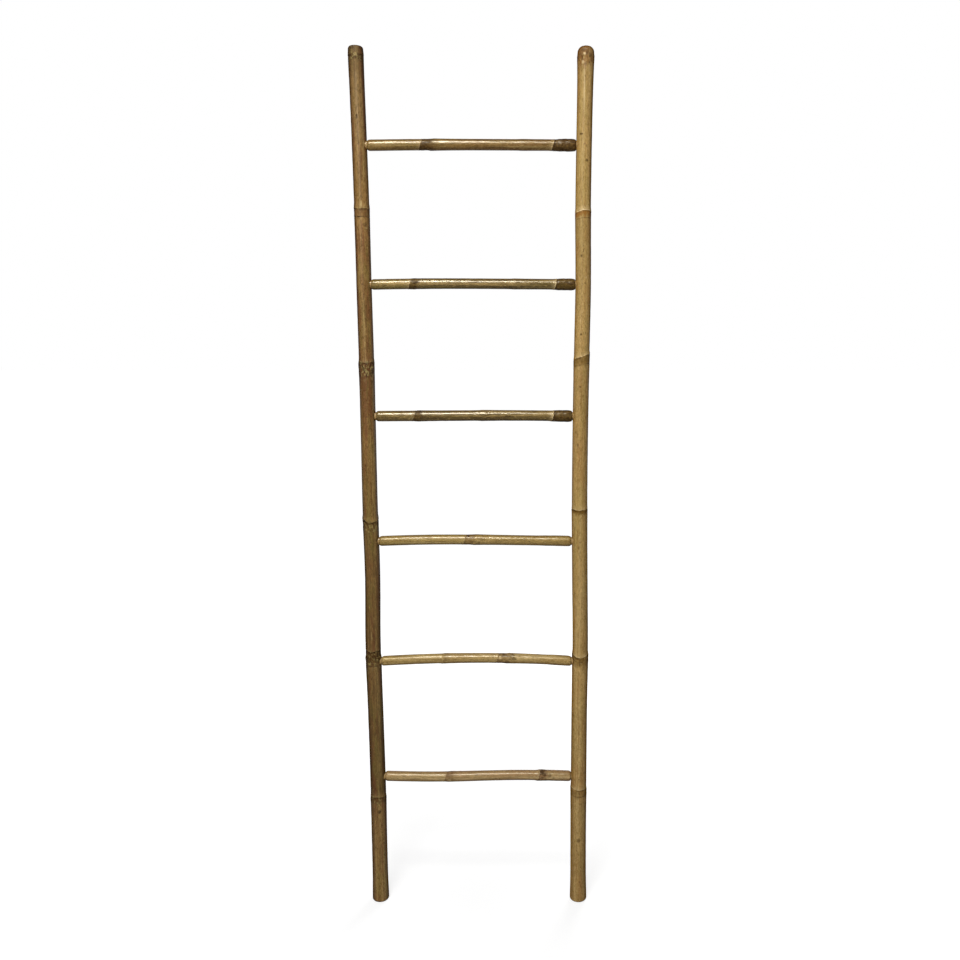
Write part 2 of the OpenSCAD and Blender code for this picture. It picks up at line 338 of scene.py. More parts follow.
POLE_SPECKS = (
    specks((1762, 267, 2.4, 5, 0.7), (1821, 288, 2, 4, 0.4), (1605, 280, 2, 3, 0.4),
           (1564, 252, 4, 1.6, 0.7), (1548, 300, 6, 5, 0.35), (1240, 306, 3, 4, 0.7),
           (874, 318, 2, 4, 0.5), (845, 284, 1.5, 6, 0.4), (453, 277, 1.5, 7, 0.4),
           # The pale speck at 1590 mm and 276 degrees is a painted highlight, a glint just above
           # the scar under it.
           (230, 285, 4, 5, 0.75), (1894, 250, 6, 3, 0.6), (1590, 276, 2, 8, -0.9),
           (1711, 314, 1.5, 5, -0.5), (1542, 312, 3, 3, -0.5), (655, 269, 1.5, 12, -0.35),
           # The long dark streaks at 880 mm on the left side and at 400 mm on the right side are
           # painted shade that darkens the pole's edges there.
           (1882, 276, 5, 3, -0.6), (880, 203, 6, 170, 0.3), (400, 322, 5, 75, 0.3),
           # The two pale patches at the foot, one on each edge, are painted light that lightens the
           # foot's edges.
           (48, 208, 5, 40, -0.35), (50, 332, 5, 40, -0.35)),
    specks((1728, 244, 5, 2.4, 0.8), (1676, 290, 3.6, 3.6, 0.7), (1705, 284, 2, 3, 0.3),
           (1763, 276, 3, 3, 0.3), (1840, 266, 2, 3, 0.35), (1485, 254, 2.5, 3, 0.65),
           (1429, 281, 2.5, 2.5, 0.5), (1323, 259, 2.6, 2.6, 0.8), (1212, 260, 2.6, 2.6, 0.7),
           (1114, 237, 2.5, 4, 0.4), (1087, 249, 3, 4, 0.5), (849, 273, 2, 3, 0.3),
           (251, 281, 5, 2, 0.4), (159, 270, 5, 6, 0.6), (53, 280, 3, 3, 0.4),
           (1889, 250, 6, 4, 0.5), (1883, 275, 3, 5, 0.6), (1880, 300, 5, 6, 0.5),
           # The long pale streak at 1815 mm and 262 degrees is a painted highlight, a sheen down
           # the front near the top of the pole.
           (1882, 259, 3, 3, -0.6), (1866, 248, 3, 4, -0.5), (1815, 262, 1.5, 45, -0.45),
           (1441, 289, 2, 3, -0.4)),
)
RUNG_SPECKS = (
    specks((300, 300, 3, 5, 0.3)),
    specks((235, 290, 2, 9, 0.4), (150, 260, 2, 14, 0.35), (262, 288, 2, 16, 0.5),
           (205, 284, 2, 14, 0.45), (176, 294, 2, 18, 0.4), (118, 290, 2, 14, 0.4),
           (300, 292, 1.6, 9, 0.4), (88, 276, 1.6, 12, 0.35)),
    specks((265, 285, 2, 12, 0.4), (190, 275, 2, 14, 0.35), (300, 262, 2, 8, 0.4),
           (286, 290, 2, 14, 0.45), (240, 286, 2, 13, 0.45), (214, 294, 2, 12, 0.4),
           (164, 288, 2, 16, 0.4), (112, 292, 2, 10, 0.35)),
    specks((227, 332, 3, 3.2, 0.95), (103, 290, 2, 2.4, 0.5), (196, 285, 3, 6, 0.35),
           (218, 255, 4, 3, 0.4), (209, 305, 3, 3, -0.45), (203, 240, 5, 3, 0.45)),
    specks((262, 275, 2, 6, 0.3), (133, 320, 5, 7, 0.5), (128, 285, 4, 6, 0.5),
           (145, 225, 6, 8, 0.6), (160, 295, 4, 4, -0.6), (122, 300, 3, 5, -0.4),
           (152, 335, 4, 4, 0.5)),
    specks((66, 335, 7, 6, 0.75), (60, 300, 5, 4, 0.6), (48, 290, 4, 3, 0.45),
           (40, 265, 3, 3, 0.4), (52, 225, 6, 12, 0.5), (280, 250, 4, 4, -0.35)),
)

# Scars of each rung from the top one down: share of its length from its root end at the
# right, share of the swelling, millimetres from the swelling to the torn line, how dark
# the band is, and its width in millimetres
RUNG_SCARS = (
    ((0.26, 0.6, 3, 0, 14), (0.69, 1.2, 24, 0.7, 28)),
    ((0.3, 0.6, 3, 0, 14), (0.8, 0.6, 5, 0.75, 18)),
    ((0.46, 0.9, 4, 0, 14), (0.78, 0.8, 12, 0.7, 18)),
    ((0.14, 0.6, 4, 0, 14), (0.5, 1.1, 24, 0.4, 24)),
    ((0.1, 0.6, 2, 0, 14), (0.33, 1.2, 26, 0.45, 32), (0.67, 1, 2, 0.2, 9)),
    ((0.17, 1.7, 2, 0.55, 20), (0.65, 0.8, 13, 0.35, 22)),
)

# Millimetres from the root's swelling to the torn line, on the rungs that keep their root
ROOT_LINES = (8, 2, 2)

# Width of the dark band of a root end, and the torn lines of a root and of a rung's scar
ROOT_BAND = 70 * MM
ROOT_EDGE = (-3, -2, 0, 2, 4, 2, -1, -2)
RUNG_EDGE = (-4, -1, 0, 3, 4, 3, 0, -3)

# Brightness and ruddiness of each rung up to its last scar, and past it
RUNG_TONES = (
    (0.92, 0.5, 0.95, 0.1), (0.89, 0.4, 1.12, 0), (0.89, 0.5, 1.12, 0.1),
    (0.96, 0.3, 0.96, 0), (1, 0.3, 1, 0.1), (0.98, 0.6, 1, 0.4))
TONE_CHANGE = 0.01


def face_radius(side: Side, height: float) -> float:
    """Widest that a pole gets beside a rung's shoulder.

    Args:
        side: Side of the pole.
        height: Height of the rung.

    Returns:
        The largest radius of the pole there.
    """
    pole = POLES[side.value]
    heights = np.array([height + share * RUNG_D for share in FACE_HEIGHTS])
    return float(pole.girth(heights).max())


# Node trees


@dataclass(frozen=True)
class Wire:
    """An output of a node, with sums written the way that they are read.

    Attributes:
        graph: The graph of its node.
        socket: The output itself.
    """

    graph: "Graph"
    socket: bpy.types.NodeSocket

    def __add__(self, other: "Term") -> "Wire":
        """Sum of this and another number."""
        return self.graph.math("ADD", self, other)

    def __sub__(self, other: "Term") -> "Wire":
        """This less another number."""
        return self.graph.math("SUBTRACT", self, other)

    def __rsub__(self, other: float) -> "Wire":
        """A plain number less this."""
        return self.graph.math("SUBTRACT", other, self)

    def __mul__(self, other: "Term") -> "Wire":
        """Product of this and another number."""
        return self.graph.math("MULTIPLY", self, other)

    def __truediv__(self, other: "Term") -> "Wire":
        """This over another number."""
        return self.graph.math("DIVIDE", self, other)

    def __abs__(self) -> "Wire":
        """This without its sign."""
        return self.graph.math("ABSOLUTE", self)

    def step(self, low: float, high: float) -> "Wire":
        """Smooth step from 0 where this is at low to 1 where it is at high."""
        return self.graph.out("MapRange", {"Value": self, "From Min": low, "From Max": high},
                              interpolation_type="SMOOTHSTEP")


Term = Wire | float


class Graph:
    """Adds and links the nodes of one node tree."""

    def __init__(self, tree: bpy.types.NodeTree) -> None:
        """Start on a tree, with its default nodes taken out."""
        self.tree = tree
        tree.nodes.clear()

    def add(self, kind: str, inputs: dict | None = None, **settings: object) -> bpy.types.Node:
        """Add a node.

        Args:
            kind: The node's type without its "ShaderNode" start.
            inputs: Value or wire for each named or numbered input.
            settings: Attributes of the node itself.

        Returns:
            The new node.
        """
        node = self.tree.nodes.new(kind if kind.startswith("NodeGroup") else "ShaderNode" + kind)
        for name, value in settings.items():
            setattr(node, name, value)
        for name, value in (inputs or {}).items():
            if isinstance(value, Wire):
                self.tree.links.new(value.socket, node.inputs[name])
            else:
                node.inputs[name].default_value = value
        return node

    def out(self, kind: str, inputs: dict | None = None, output: int | str = 0,
            **settings: object) -> Wire:
        """Add a node and take one of its outputs."""
        return Wire(self, self.add(kind, inputs, **settings).outputs[output])

    def outs(self, kind: str, inputs: dict | None = None, **settings: object) -> dict[str, Wire]:
        """Add a node and take all its outputs by name."""
        node = self.add(kind, inputs, **settings)
        return {socket.name: Wire(self, socket) for socket in node.outputs if socket.name}

    def close(self, **ends: Wire) -> bpy.types.NodeTree:
        """Link the outputs of a group and hand the group over."""
        self.add("NodeGroupOutput", ends)
        return self.tree

    def math(self, operation: str, *terms: Term, clamp: bool = False) -> Wire:
        """Combine numbers with one Math node."""
        return self.out("Math", dict(enumerate(terms)), operation=operation, use_clamp=clamp)

    def vector(self, operation: str, *terms: object) -> Wire:
        """Combine vectors with one Vector Math node."""
        return self.out("VectorMath", dict(enumerate(terms)), operation=operation)

    def most(self, first: Term, *others: Term) -> Wire:
        """The greatest of some numbers.

        Args:
            first: The first number.
            others: The numbers after it.

        Returns:
            The greatest of them.
        """
        for other in others:
            first = self.math("MAXIMUM", first, other)
        return first

    def mix(self, share: Term, under: object, over: object, blend: str = "MIX") -> Wire:
        """Lay one colour over another by a share."""
        return self.out("Mix", {0: share, 6: under, 7: over}, 2, data_type="RGBA",
                        blend_type=blend)

    def lay(self, colour: object, *layers: tuple[Term, object]) -> Wire:
        """Lay colours over one another, each by its share.

        Args:
            colour: The colour at the bottom.
            layers: Share and colour of each layer, from the bottom up.

        Returns:
            The colour on top.
        """
        for share, over in layers:
            colour = self.mix(share, colour, over)
        return colour

    def noise(self, vector: Wire, scale: float, detail: float = 2.0, rough: float = 0.5) -> Wire:
        """Noise from 0 to 1 at a vector."""
        return self.out("TexNoise", {"Vector": vector, "Scale": scale, "Detail": detail,
                                     "Roughness": rough}, "Fac")

    def length(self, vector: Wire) -> Wire:
        """Length of a vector."""
        return self.out("VectorMath", {0: vector}, "Value", operation="LENGTH")

    def shortened(self, stretched: Wire, plain: Wire, share: float) -> Wire:
        """Add a share of the plain vector to the stretched one, for a shorter grain."""
        return self.vector("MULTIPLY_ADD", plain, (share,) * 3, stretched)

    def split(self, vector: Wire) -> list[Wire]:
        """The three numbers of a vector."""
        return list(self.outs("SeparateXYZ", {0: vector}).values())

    def attribute(self, name: str) -> list[Wire]:
        """The three numbers of a vector attribute of the mesh."""
        return self.split(self.out("Attribute", output="Vector", attribute_name=name))


def new_group(name: str, inputs: dict[str, object],
              *outputs: str) -> tuple[Graph, dict[str, Wire]]:
    """Make a shader node group with named inputs and outputs.

    Args:
        name: Name of the group.
        inputs: Default of each input, whose type gives the socket's type.
        outputs: Names of the outputs, which are numbers apart from "Color".

    Returns:
        The group's graph and its inputs by name.
    """
    tree = bpy.data.node_groups.new(name, "ShaderNodeTree")
    kinds = {float: "NodeSocketFloat", tuple: "NodeSocketColor", str: "NodeSocketVector"}
    for label, default in inputs.items():
        socket = tree.interface.new_socket(label, in_out="INPUT", socket_type=kinds[type(default)])
        if not isinstance(default, str):
            socket.default_value = default
    for label in outputs:
        kind = kinds[tuple if label == "Color" else float]
        tree.interface.new_socket(label, in_out="OUTPUT", socket_type=kind)
    graph = Graph(tree)
    return graph, graph.outs("NodeGroupInput")


def new_material(name: str) -> tuple[bpy.types.Material, Graph]:
    """Make an empty material and the graph of its nodes.

    Args:
        name: Name of the material.

    Returns:
        The material and its graph.
    """
    material = bpy.data.materials.new(name)
    material.use_nodes = True
    return material, Graph(material.node_tree)


def grain_group() -> bpy.types.NodeTree:
    """Build the grain of a cane: streaks, drawn patches, mottle, specks and ribs.

    Returns:
        A group that takes a vector stretched along the cane and a plain one.
    """
    g, given = new_group("lengthwise grain", {"Vector": "", "Skin": ""}, "Pale", "Deep",
                         "Cloud", "Moss", "Mottle", "Flecks", "Specks", "Height")
    along, skin = given["Vector"], given["Skin"]
    drawn, short, dotted = (g.shortened(along, skin, share) for share in (0.15, 0.4, 0.6))
    thin = g.noise(along, 420, 3, 0.6)
    mottle = g.noise(short, 210, 3, 0.65) + (g.noise(dotted, 400, 2, 0.6) - 0.5) * 0.9
    drift = g.out("TexNoise", {"Vector": skin, "Scale": 260.0}, "Color")
    warped = g.shortened(short, drift, 0.003)
    spots = g.out("TexVoronoi", {"Vector": warped, "Scale": 62.0}, "Distance")
    spotted = spots.step(0.14, 0.07) * g.noise(skin, 26, 1).step(0.56, 0.62)
    return g.close(
        Pale=g.noise(along, 95, 2, 0.6).step(0.47, 0.64), Deep=thin.step(0.5, 0.66),
        Cloud=g.noise(drawn, 62, 3, 0.6), Moss=g.noise(drawn, 44, 3, 0.6), Mottle=mottle,
        Flecks=g.noise(short, 330).step(0.58, 0.68), Specks=spotted,
        Height=thin * 0.6 + g.noise(along, 1300) * 0.3 + mottle * 0.8 - spotted)


def scar_group() -> bpy.types.NodeTree:
    """Build the marks round a leaf scar: band, ring, crack, torn lip and blotches.

    Returns:
        A group that reads the scar attributes of a cane's mesh.
    """
    g, given = new_group("leaf scar marks", {"Vector": "", "Skin": ""}, "Band", "Ring",
                         "Crack", "Lip", "Blotch", "Patch", "Ruddy", "Height")
    skin = given["Skin"]
    past, near, width = g.attribute("scar")
    dark, mottle, lip = g.attribute("scar_look")
    crack, ring, ruddy = g.attribute("scar_more")
    streaky = g.shortened(given["Vector"], skin, 0.5)
    rough = g.noise(skin, 240, 3, 0.6)
    wavy = past + (rough - 0.5) * 3.6
    depth = (past + (g.noise(streaky, 130, 3, 0.6) - 0.5) * 26.0) / width
    broken = g.noise(skin, 85).step(0.36, 0.54)
    band = wavy.step(0.6, -1.0) * depth.step(-1.25, -0.6) * dark * near
    ring_line = (1.0 - abs(wavy + ring).step(0.3, 1.7)) * near * ring.step(0.5, 1.0) * broken
    crack_line = (1.0 - abs(wavy + 2.4).step(0.8, 3.6)) * near * crack * broken
    edge = 1.0 - abs(past - 0.5).step(0.5, 1.6)
    above = past.step(13.0, 1.0) * past.step(-0.5, 0.8) * 0.4
    lip_line = g.most(edge, above) * near * lip * rough.step(0.3, 0.52)
    zone = depth.step(-1.5, -0.8) * past.step(5.0, -1.0) * near * mottle
    blotch = zone * g.noise(streaky, 150, 3, 0.6).step(0.52, 0.6)
    pales = g.noise(g.vector("MULTIPLY", skin, (1, 1, 0.8)), 190, 3, 0.6)
    patch = zone * pales.step(0.5, 0.6)
    return g.close(
        Band=band, Ring=ring_line, Crack=crack_line, Lip=lip_line, Blotch=blotch, Patch=patch,
        Ruddy=ruddy, Height=(lip_line + patch * 0.5) - (crack_line + blotch * 0.6))


def speck_group() -> bpy.types.NodeTree:
    """Build one ragged speck round a point of the skin.

    Returns:
        A group whose inputs are the speck's place, its shape and its depth.
    """
    g, given = new_group(
        "speck", {"Skin": "", "Centre": "", "Shape": "", "Depth": 0.5, "Before": 0.0}, "Mark")
    away = g.vector("SUBTRACT", given["Skin"], given["Centre"])
    distance = g.length(g.vector("MULTIPLY", away, given["Shape"]))
    ragged = distance + (g.noise(given["Skin"], 480) - 0.5)
    return g.close(Mark=given["Before"] + ragged.step(1.15, 0.55) * given["Depth"])


SKIN_COLOURS = ("Ripe", "Pale", "Deep", "Cloud", "Moss", "Ruddy", "Band", "Ruddy Band", "Crack",
                "Lip", "Patch", "Bare")
SKIN_AMOUNTS = ("Streaks", "Clouds", "Mottle", "Specks", "Gloss")


def skin_group(grain: bpy.types.NodeTree, scars: bpy.types.NodeTree) -> bpy.types.NodeTree:
    """Build the whole skin of a cane from its grain and its scars.

    Args:
        grain: The lengthwise grain group.
        scars: The leaf scar group.

    Returns:
        A group whose inputs are the colours of one cane.
    """
    g, given = new_group(
        "cane skin",
        {"Vector": "", "Skin": "", "Mark": 0.0, **{name: (0.5,) * 4 for name in SKIN_COLOURS},
         **{name: 0.5 for name in SKIN_AMOUNTS}},
        "Color", "Roughness", "Shine", "Height")
    vectors = {name: given[name] for name in ("Vector", "Skin")}
    grown = g.outs("Group", vectors, node_tree=grain)
    scar = g.outs("Group", vectors, node_tree=scars)
    tone, bare, ruddy = g.attribute("cane")
    mark, streaks, crack = given["Mark"], given["Streaks"], given["Crack"]
    redder = (grown["Cloud"] - 0.5) + (ruddy - 0.5) * 0.36
    colour = g.lay(
        given["Ripe"],
        (grown["Moss"].step(0.45, 0.62) * given["Clouds"], given["Moss"]),
        (redder.step(-0.1, 0.1) * given["Clouds"], given["Cloud"]),
        (ruddy * 0.5, given["Ruddy"]),
        (grown["Pale"] * streaks, given["Pale"]),
        (grown["Deep"] * streaks, given["Deep"]),
        (grown["Flecks"] * streaks * 0.8, given["Pale"]))
    swing = (grown["Mottle"] - 0.5) * given["Mottle"]
    colour = g.out("HueSaturation", {"Color": colour, "Value": tone * (swing + 1.0)})
    pores = g.out("TexVoronoi", {"Vector": given["Skin"], "Scale": 900.0}, "Distance")
    dark = g.most(scar["Ring"] * 0.6, scar["Crack"], scar["Blotch"] * 0.75)
    rim = 1.0 - abs(bare - 0.3).step(0.08, 0.26)
    colour = g.lay(
        colour,
        (grown["Specks"] * given["Specks"], crack),
        (scar["Band"], g.mix(scar["Ruddy"], given["Band"], given["Ruddy Band"])),
        (scar["Patch"] * 0.8, given["Patch"]),
        (dark, crack),
        (scar["Lip"], given["Lip"]),
        (g.most(mark, 0.0), crack),
        (g.math("MINIMUM", mark, 0.0) * -1.0, given["Lip"]),
        (bare.step(0.35, 0.6), g.mix(pores.step(0.35, 0.15) * 0.4, given["Bare"], given["Band"])),
        (rim * 0.8, crack))
    stale = tone.step(0.88, 0.68)
    worn = g.most(dark, mark, scar["Band"] * 0.9, stale * 0.6)
    rough = (given["Gloss"] + grown["Cloud"] * 0.12 + (grown["Mottle"] - 0.5) * 0.35
             + g.most(scar["Band"] * 0.45, stale) * 0.3 + scar["Blotch"] * 0.2)
    return g.close(
        Color=colour, Roughness=g.math("ADD", rough, bare * 0.35, clamp=True),
        Shine=g.math("SUBTRACT", 1.0, worn * 0.85, clamp=True),
        Height=grown["Height"] * 1.8 + scar["Height"] - mark)


@dataclass(frozen=True)
class Groups:
    """The node groups that the canes' materials share.

    Attributes:
        skin: The whole skin of a cane.
        speck: One speck of the skin.
    """

    skin: bpy.types.NodeTree
    speck: bpy.types.NodeTree


@dataclass(frozen=True)
class CaneFinish:
    """Lacquered skin of one kind of cane.

    Attributes:
        slot: Name of a material slot that the finish belongs to; not used.
        ripe: Main colour.
        pale: Colour of the pale lengthwise streaks.
        deep: Colour of the dark lengthwise streaks.
        cloud: Colour of the brown patches drawn along the cane.
        moss: Colour of the greenish patches drawn along the cane.
        ruddy: Colour that a ruddy internode leans to.
        band: Colour of the band under a leaf scar.
        ruddy_band: Colour of that band where the scar is ruddy.
        crack: Colour of cracks, rings and dark specks, some of which are painted shade.
        lip: Colour of a torn edge and of the pale specks, painted highlights among them.
        patch: Colour of the pale blotches under a scar.
        bare: Colour of the wood where the skin is cut away.
        streaks: Strength of the streaks.
        clouds: Strength of the cloudy patches.
        mottle: Strength of the fine mottle.
        specks: Strength of the specks.
        gloss: Roughness of the lacquered skin.
        coat: Weight of the clear lacquer.
        painted_edge_shade: Painted shade, a dark tint on the colour where the skin is seen at a
            slant.
        grazing: How much of its shine is lost there.
    """

    slot: str
    ripe: Shade
    pale: Shade
    deep: Shade
    cloud: Shade
    moss: Shade
    ruddy: Shade
    band: Shade
    ruddy_band: Shade
    crack: Shade
    lip: Shade = (216, 190, 140)
    patch: Shade = (150, 136, 98)
    bare: Shade = (200, 172, 126)
    streaks: float = 0.55
    clouds: float = 0.6
    mottle: float = 1.0
    specks: float = 0.7
    gloss: float = 0.26
    coat: float = 0.1
    painted_edge_shade: Colour = (0.5, 0.41, 0.2, 1)
    grazing: float = 0.0

    def values(self) -> dict[str, object]:
        """Its colours and amounts by the names that the skin group gives them.

        Returns:
            The value of each input that depends on the finish.
        """
        colours = {name: srgb(*getattr(self, name.lower().replace(" ", "_")))
                   for name in SKIN_COLOURS}
        return colours | {name: getattr(self, name.lower()) for name in SKIN_AMOUNTS}

    def material(self, name: str, groups: Groups, stretch: Point,
                 marks: list[tuple[Vector, Vector, float]]) -> bpy.types.Material:
        """Make the material of one cane.

        Args:
            name: Name of the material.
            groups: The shared node groups.
            stretch: Scale of the grain along the axes, small along the cane.
            marks: Place, shape and depth of each of its specks.

        Returns:
            The finished material.
        """
        material, g = new_material(name)
        place = g.out("TexCoord", output="Object")
        along = g.out("Mapping", {"Vector": place, "Scale": stretch})
        mark: Term = 0.0
        for centre, shape, depth in marks:
            mark = g.out("Group", {"Skin": place, "Centre": centre, "Shape": shape,
                                   "Depth": depth, "Before": mark}, node_tree=groups.speck)
        skin = g.outs("Group", {"Vector": along, "Skin": place, "Mark": mark, **self.values()},
                      node_tree=groups.skin)
        past, near, band = g.attribute("scar")
        dark = g.attribute("scar_look")[0]
        tone = g.attribute("cane")[0]
        under = past.step(0.6, -1.0) * (past / band).step(-1.25, -0.6) * dark * near
        worn = g.most(under * 0.77, tone.step(0.88, 0.68) * 0.51)
        slant = g.out("LayerWeight", {"Blend": 0.5}, "Facing")
        facing = 1.0 - slant.step(0.3, 0.65) * self.grazing
        bump = g.out("Bump", {"Strength": 0.6, "Distance": 0.25 * MM, "Height": skin["Height"]})
        shader = g.out("BsdfPrincipled", {
            # Painted shade: a fixed dark tint is multiplied into the base colour where the skin is
            # seen at a slant, so every cane has dark edges in every view.
            "Base Color": g.mix(slant.step(0.16, 0.66), skin["Color"], self.painted_edge_shade, "MULTIPLY"),
            "Roughness": skin["Roughness"], "Normal": bump, "IOR": 1.5,
            "Specular IOR Level": facing * (1.0 - worn) * 0.5,
            "Specular Tint": srgb(255, 240, 205),
            "Coat Weight": skin["Shine"] * facing * self.coat, "Coat Roughness": 0.12})
        g.add("OutputMaterial", {0: shader})
        return material


BROWN_CANE = CaneFinish(
    slot="cane_brown", ripe=(122, 93, 50), pale=(152, 126, 76), deep=(80, 55, 26),
    cloud=(108, 70, 38), moss=(116, 99, 48), ruddy=(120, 78, 46),
    band=(64, 40, 12), ruddy_band=(104, 66, 38), crack=(46, 24, 4),
    lip=(172, 148, 96), patch=(148, 132, 82), bare=(150, 118, 70), clouds=0.95,
    mottle=1.25, painted_edge_shade=(0.36, 0.27, 0.09, 1), grazing=1.0)
GOLD_CANE = CaneFinish(
    slot="cane_gold", ripe=(167, 136, 80), pale=(190, 162, 108),
    deep=(134, 98, 50), cloud=(150, 106, 54), moss=(158, 134, 76),
    ruddy=(132, 84, 48), band=(98, 68, 16), ruddy_band=(150, 92, 24),
    crack=(66, 40, 4), patch=(158, 130, 76), bare=(160, 128, 78),
    painted_edge_shade=(0.6, 0.48, 0.2, 1), grazing=1.0)
RUNG_CANE = CaneFinish(
    slot="cane_rung", ripe=(132, 104, 54), pale=(158, 132, 82),
    deep=(94, 68, 32), cloud=(112, 78, 38), moss=(120, 101, 50),
    ruddy=(122, 84, 46), band=(60, 38, 10), ruddy_band=(98, 56, 22),
    crack=(50, 28, 6), patch=(108, 82, 42), bare=(150, 120, 74), gloss=0.2,
    coat=0.15, streaks=0.7, grazing=0.7)
RUNG_FINISHES = (
    replace(RUNG_CANE, lip=(206, 176, 124)),
    replace(RUNG_CANE, ripe=(110, 93, 51), cloud=(88, 69, 35), deep=(76, 56, 25),
            ruddy=(96, 74, 39), band=(82, 62, 26), streaks=0.95, mottle=1.3,
            gloss=0.14),
    replace(RUNG_CANE, ripe=(110, 91, 51), cloud=(88, 68, 36), deep=(76, 56, 26),
            ruddy=(98, 74, 40), band=(76, 56, 24), streaks=0.95, mottle=1.3,
            gloss=0.14),
    replace(RUNG_CANE, ripe=(152, 126, 70), cloud=(132, 102, 52),
            moss=(144, 122, 64), ruddy=(146, 112, 64), band=(112, 80, 42),
            pale=(180, 155, 102), deep=(118, 90, 44)),
    replace(RUNG_CANE, ripe=(164, 138, 84), cloud=(144, 114, 62),
            moss=(156, 132, 74), ruddy=(152, 118, 72), band=(106, 72, 36),
            pale=(190, 165, 112), deep=(128, 100, 54)),
    replace(RUNG_CANE, ripe=(162, 135, 88), cloud=(144, 108, 68),
            moss=(150, 130, 78), ruddy=(158, 118, 82), band=(108, 68, 40),
            pale=(188, 161, 114), deep=(126, 97, 58), gloss=0.27),
)


@dataclass(frozen=True)
class BradFinish:
    """Dull steel of a brad's head under a film of lacquer, tinted like its pole.

    Attributes:
        steel: Colour of the clean steel.
        rust: Colour of its stains.
    """

    steel: Shade
    rust: Shade

    def material(self, name: str) -> bpy.types.Material:
        """Make the brads' material.

        Args:
            name: Name of the material.

        Returns:
            The finished material.
        """
        material, g = new_material(name)
        place = g.out("TexCoord", output="Object")
        stains = g.noise(place, 700, 3, 0.6).step(0.4, 0.62)
        dents = g.noise(place, 1600)
        bump = g.out("Bump", {"Strength": 0.4, "Distance": 0.1 * MM, "Height": dents})
        shader = g.out("BsdfPrincipled", {
            "Base Color": g.mix(stains, srgb(*self.steel), srgb(*self.rust)),
            "Metallic": 0.6 - stains * 0.4, "Roughness": stains * 0.3 + 0.4, "Normal": bump,
            "Coat Weight": 0.3})
        g.add("OutputMaterial", {0: shader})
        return material


# Modelling by hand


def lone(obj: bpy.types.Object) -> bpy.types.Object:
    """Select one object alone and make it active.

    Args:
        obj: The object.

    Returns:
        The same object.
    """
    bpy.ops.object.select_all(action="DESELECT")
    obj.select_set(True)
    bpy.context.view_layer.objects.active = obj
    return obj


def extruded_tube(name: str, radius: float, sides: int, start: float,
                  stretches: list[tuple[float, float]]) -> bpy.types.Object:
    """Extrude an open tube upwards, stretch by stretch, with even rings in each stretch.

    Args:
        name: Name of the new object.
        radius: Radius of the tube.
        sides: Corners round the tube.
        start: Height at which it starts.
        stretches: Height of each stretch's end, and its distance from ring to ring.

    Returns:
        The open tube.
    """
    bpy.ops.object.select_all(action="DESELECT")
    bpy.ops.mesh.primitive_circle_add(vertices=sides, radius=radius, fill_type="NOTHING",
                                      location=(0, 0, start))
    tube = bpy.context.active_object
    tube.name = name
    bpy.ops.object.mode_set(mode="EDIT")
    bpy.ops.mesh.select_mode(type="EDGE")
    low = 0.0
    for end, spacing in stretches:
        high = end - start
        bpy.ops.mesh.extrude_region_move(TRANSFORM_OT_translate={"value": (0, 0, high - low)})
        mesh = bmesh.from_edit_mesh(tube.data)
        ring = [edge for edge in mesh.edges if edge.select]
        corners = {corner for edge in ring for corner in edge.verts}
        for edge in ring:
            edge.select_set(False)
        for edge in {e for corner in corners for e in corner.link_edges} - set(ring):
            edge.select_set(True)
        bmesh.update_edit_mesh(tube.data)
        cuts = max(round((high - low) / spacing) - 1, 0)
        if cuts:
            bpy.ops.mesh.subdivide(number_cuts=cuts)
        select_ring(tube, high)
        low = high
    bpy.ops.object.mode_set(mode="OBJECT")
    bpy.ops.object.transform_apply()
    return tube


def select_ring(tube: bpy.types.Object, height: float) -> None:
    """Select only the edges of the ring at a height, in edit mode.

    Args:
        tube: The straight tube.
        height: Height of the ring.
    """
    bpy.ops.mesh.select_all(action="DESELECT")
    mesh = bmesh.from_edit_mesh(tube.data)
    for edge in mesh.edges:
        if all(abs(corner.co.z - height) < 0.01 * MM for corner in edge.verts):
            edge.select_set(True)
    bmesh.update_edit_mesh(tube.data)


def ring_places(obj: bpy.types.Object) -> tuple[np.ndarray, np.ndarray]:
    """Height and angle of every corner of a straight tube.

    Args:
        obj: The tube, upright over the origin.

    Returns:
        The heights, and the angles from 0 to a full turn.
    """
    count = len(obj.data.vertices)
    places = np.empty(count * 3)
    obj.data.vertices.foreach_get("co", places)
    x, y, z = places.reshape(-1, 3).T
    return z, np.arctan2(y, x) % math.tau


def push(obj: bpy.types.Object, name: str, way: Push, offsets: np.ndarray) -> None:
    """Paint offsets as a vertex group and raise the mesh by them.

    Args:
        obj: The mesh object.
        name: Name of the vertex group and its modifier.
        way: Direction of the offsets.
        offsets: Offset of every corner.
    """
    low, span = float(offsets.min()), float(np.ptp(offsets)) or MM
    group = obj.vertex_groups.new(name=name)
    for index, share in enumerate(((offsets - low) / span).tolist()):
        group.add((index,), share, "REPLACE")
    lone(obj)
    for label, strength, painted in (("even", low, ""), (name, span, name)):
        if not strength:
            continue
        raised = obj.modifiers.new(label, "DISPLACE")
        raised.direction, raised.vertex_group = way.value, painted
        raised.mid_level, raised.strength = 0.0, strength
        bpy.ops.object.modifier_apply(modifier=label)
    obj.vertex_groups.clear()


def paint(obj: bpy.types.Object, name: str, *columns: np.ndarray) -> None:
    """Store three numbers for every corner as a vector attribute."""
    layer = obj.data.attributes.new(name, "FLOAT_VECTOR", "POINT")
    layer.data.foreach_set("vector", np.stack(columns, axis=1).astype(np.float32).ravel())


def face_outwards() -> None:
    """Turn every face of the edited mesh outwards and leave edit mode."""
    bpy.ops.mesh.select_all(action="SELECT")
    bpy.ops.mesh.normals_make_consistent(inside=False)
    bpy.ops.object.mode_set(mode="OBJECT")


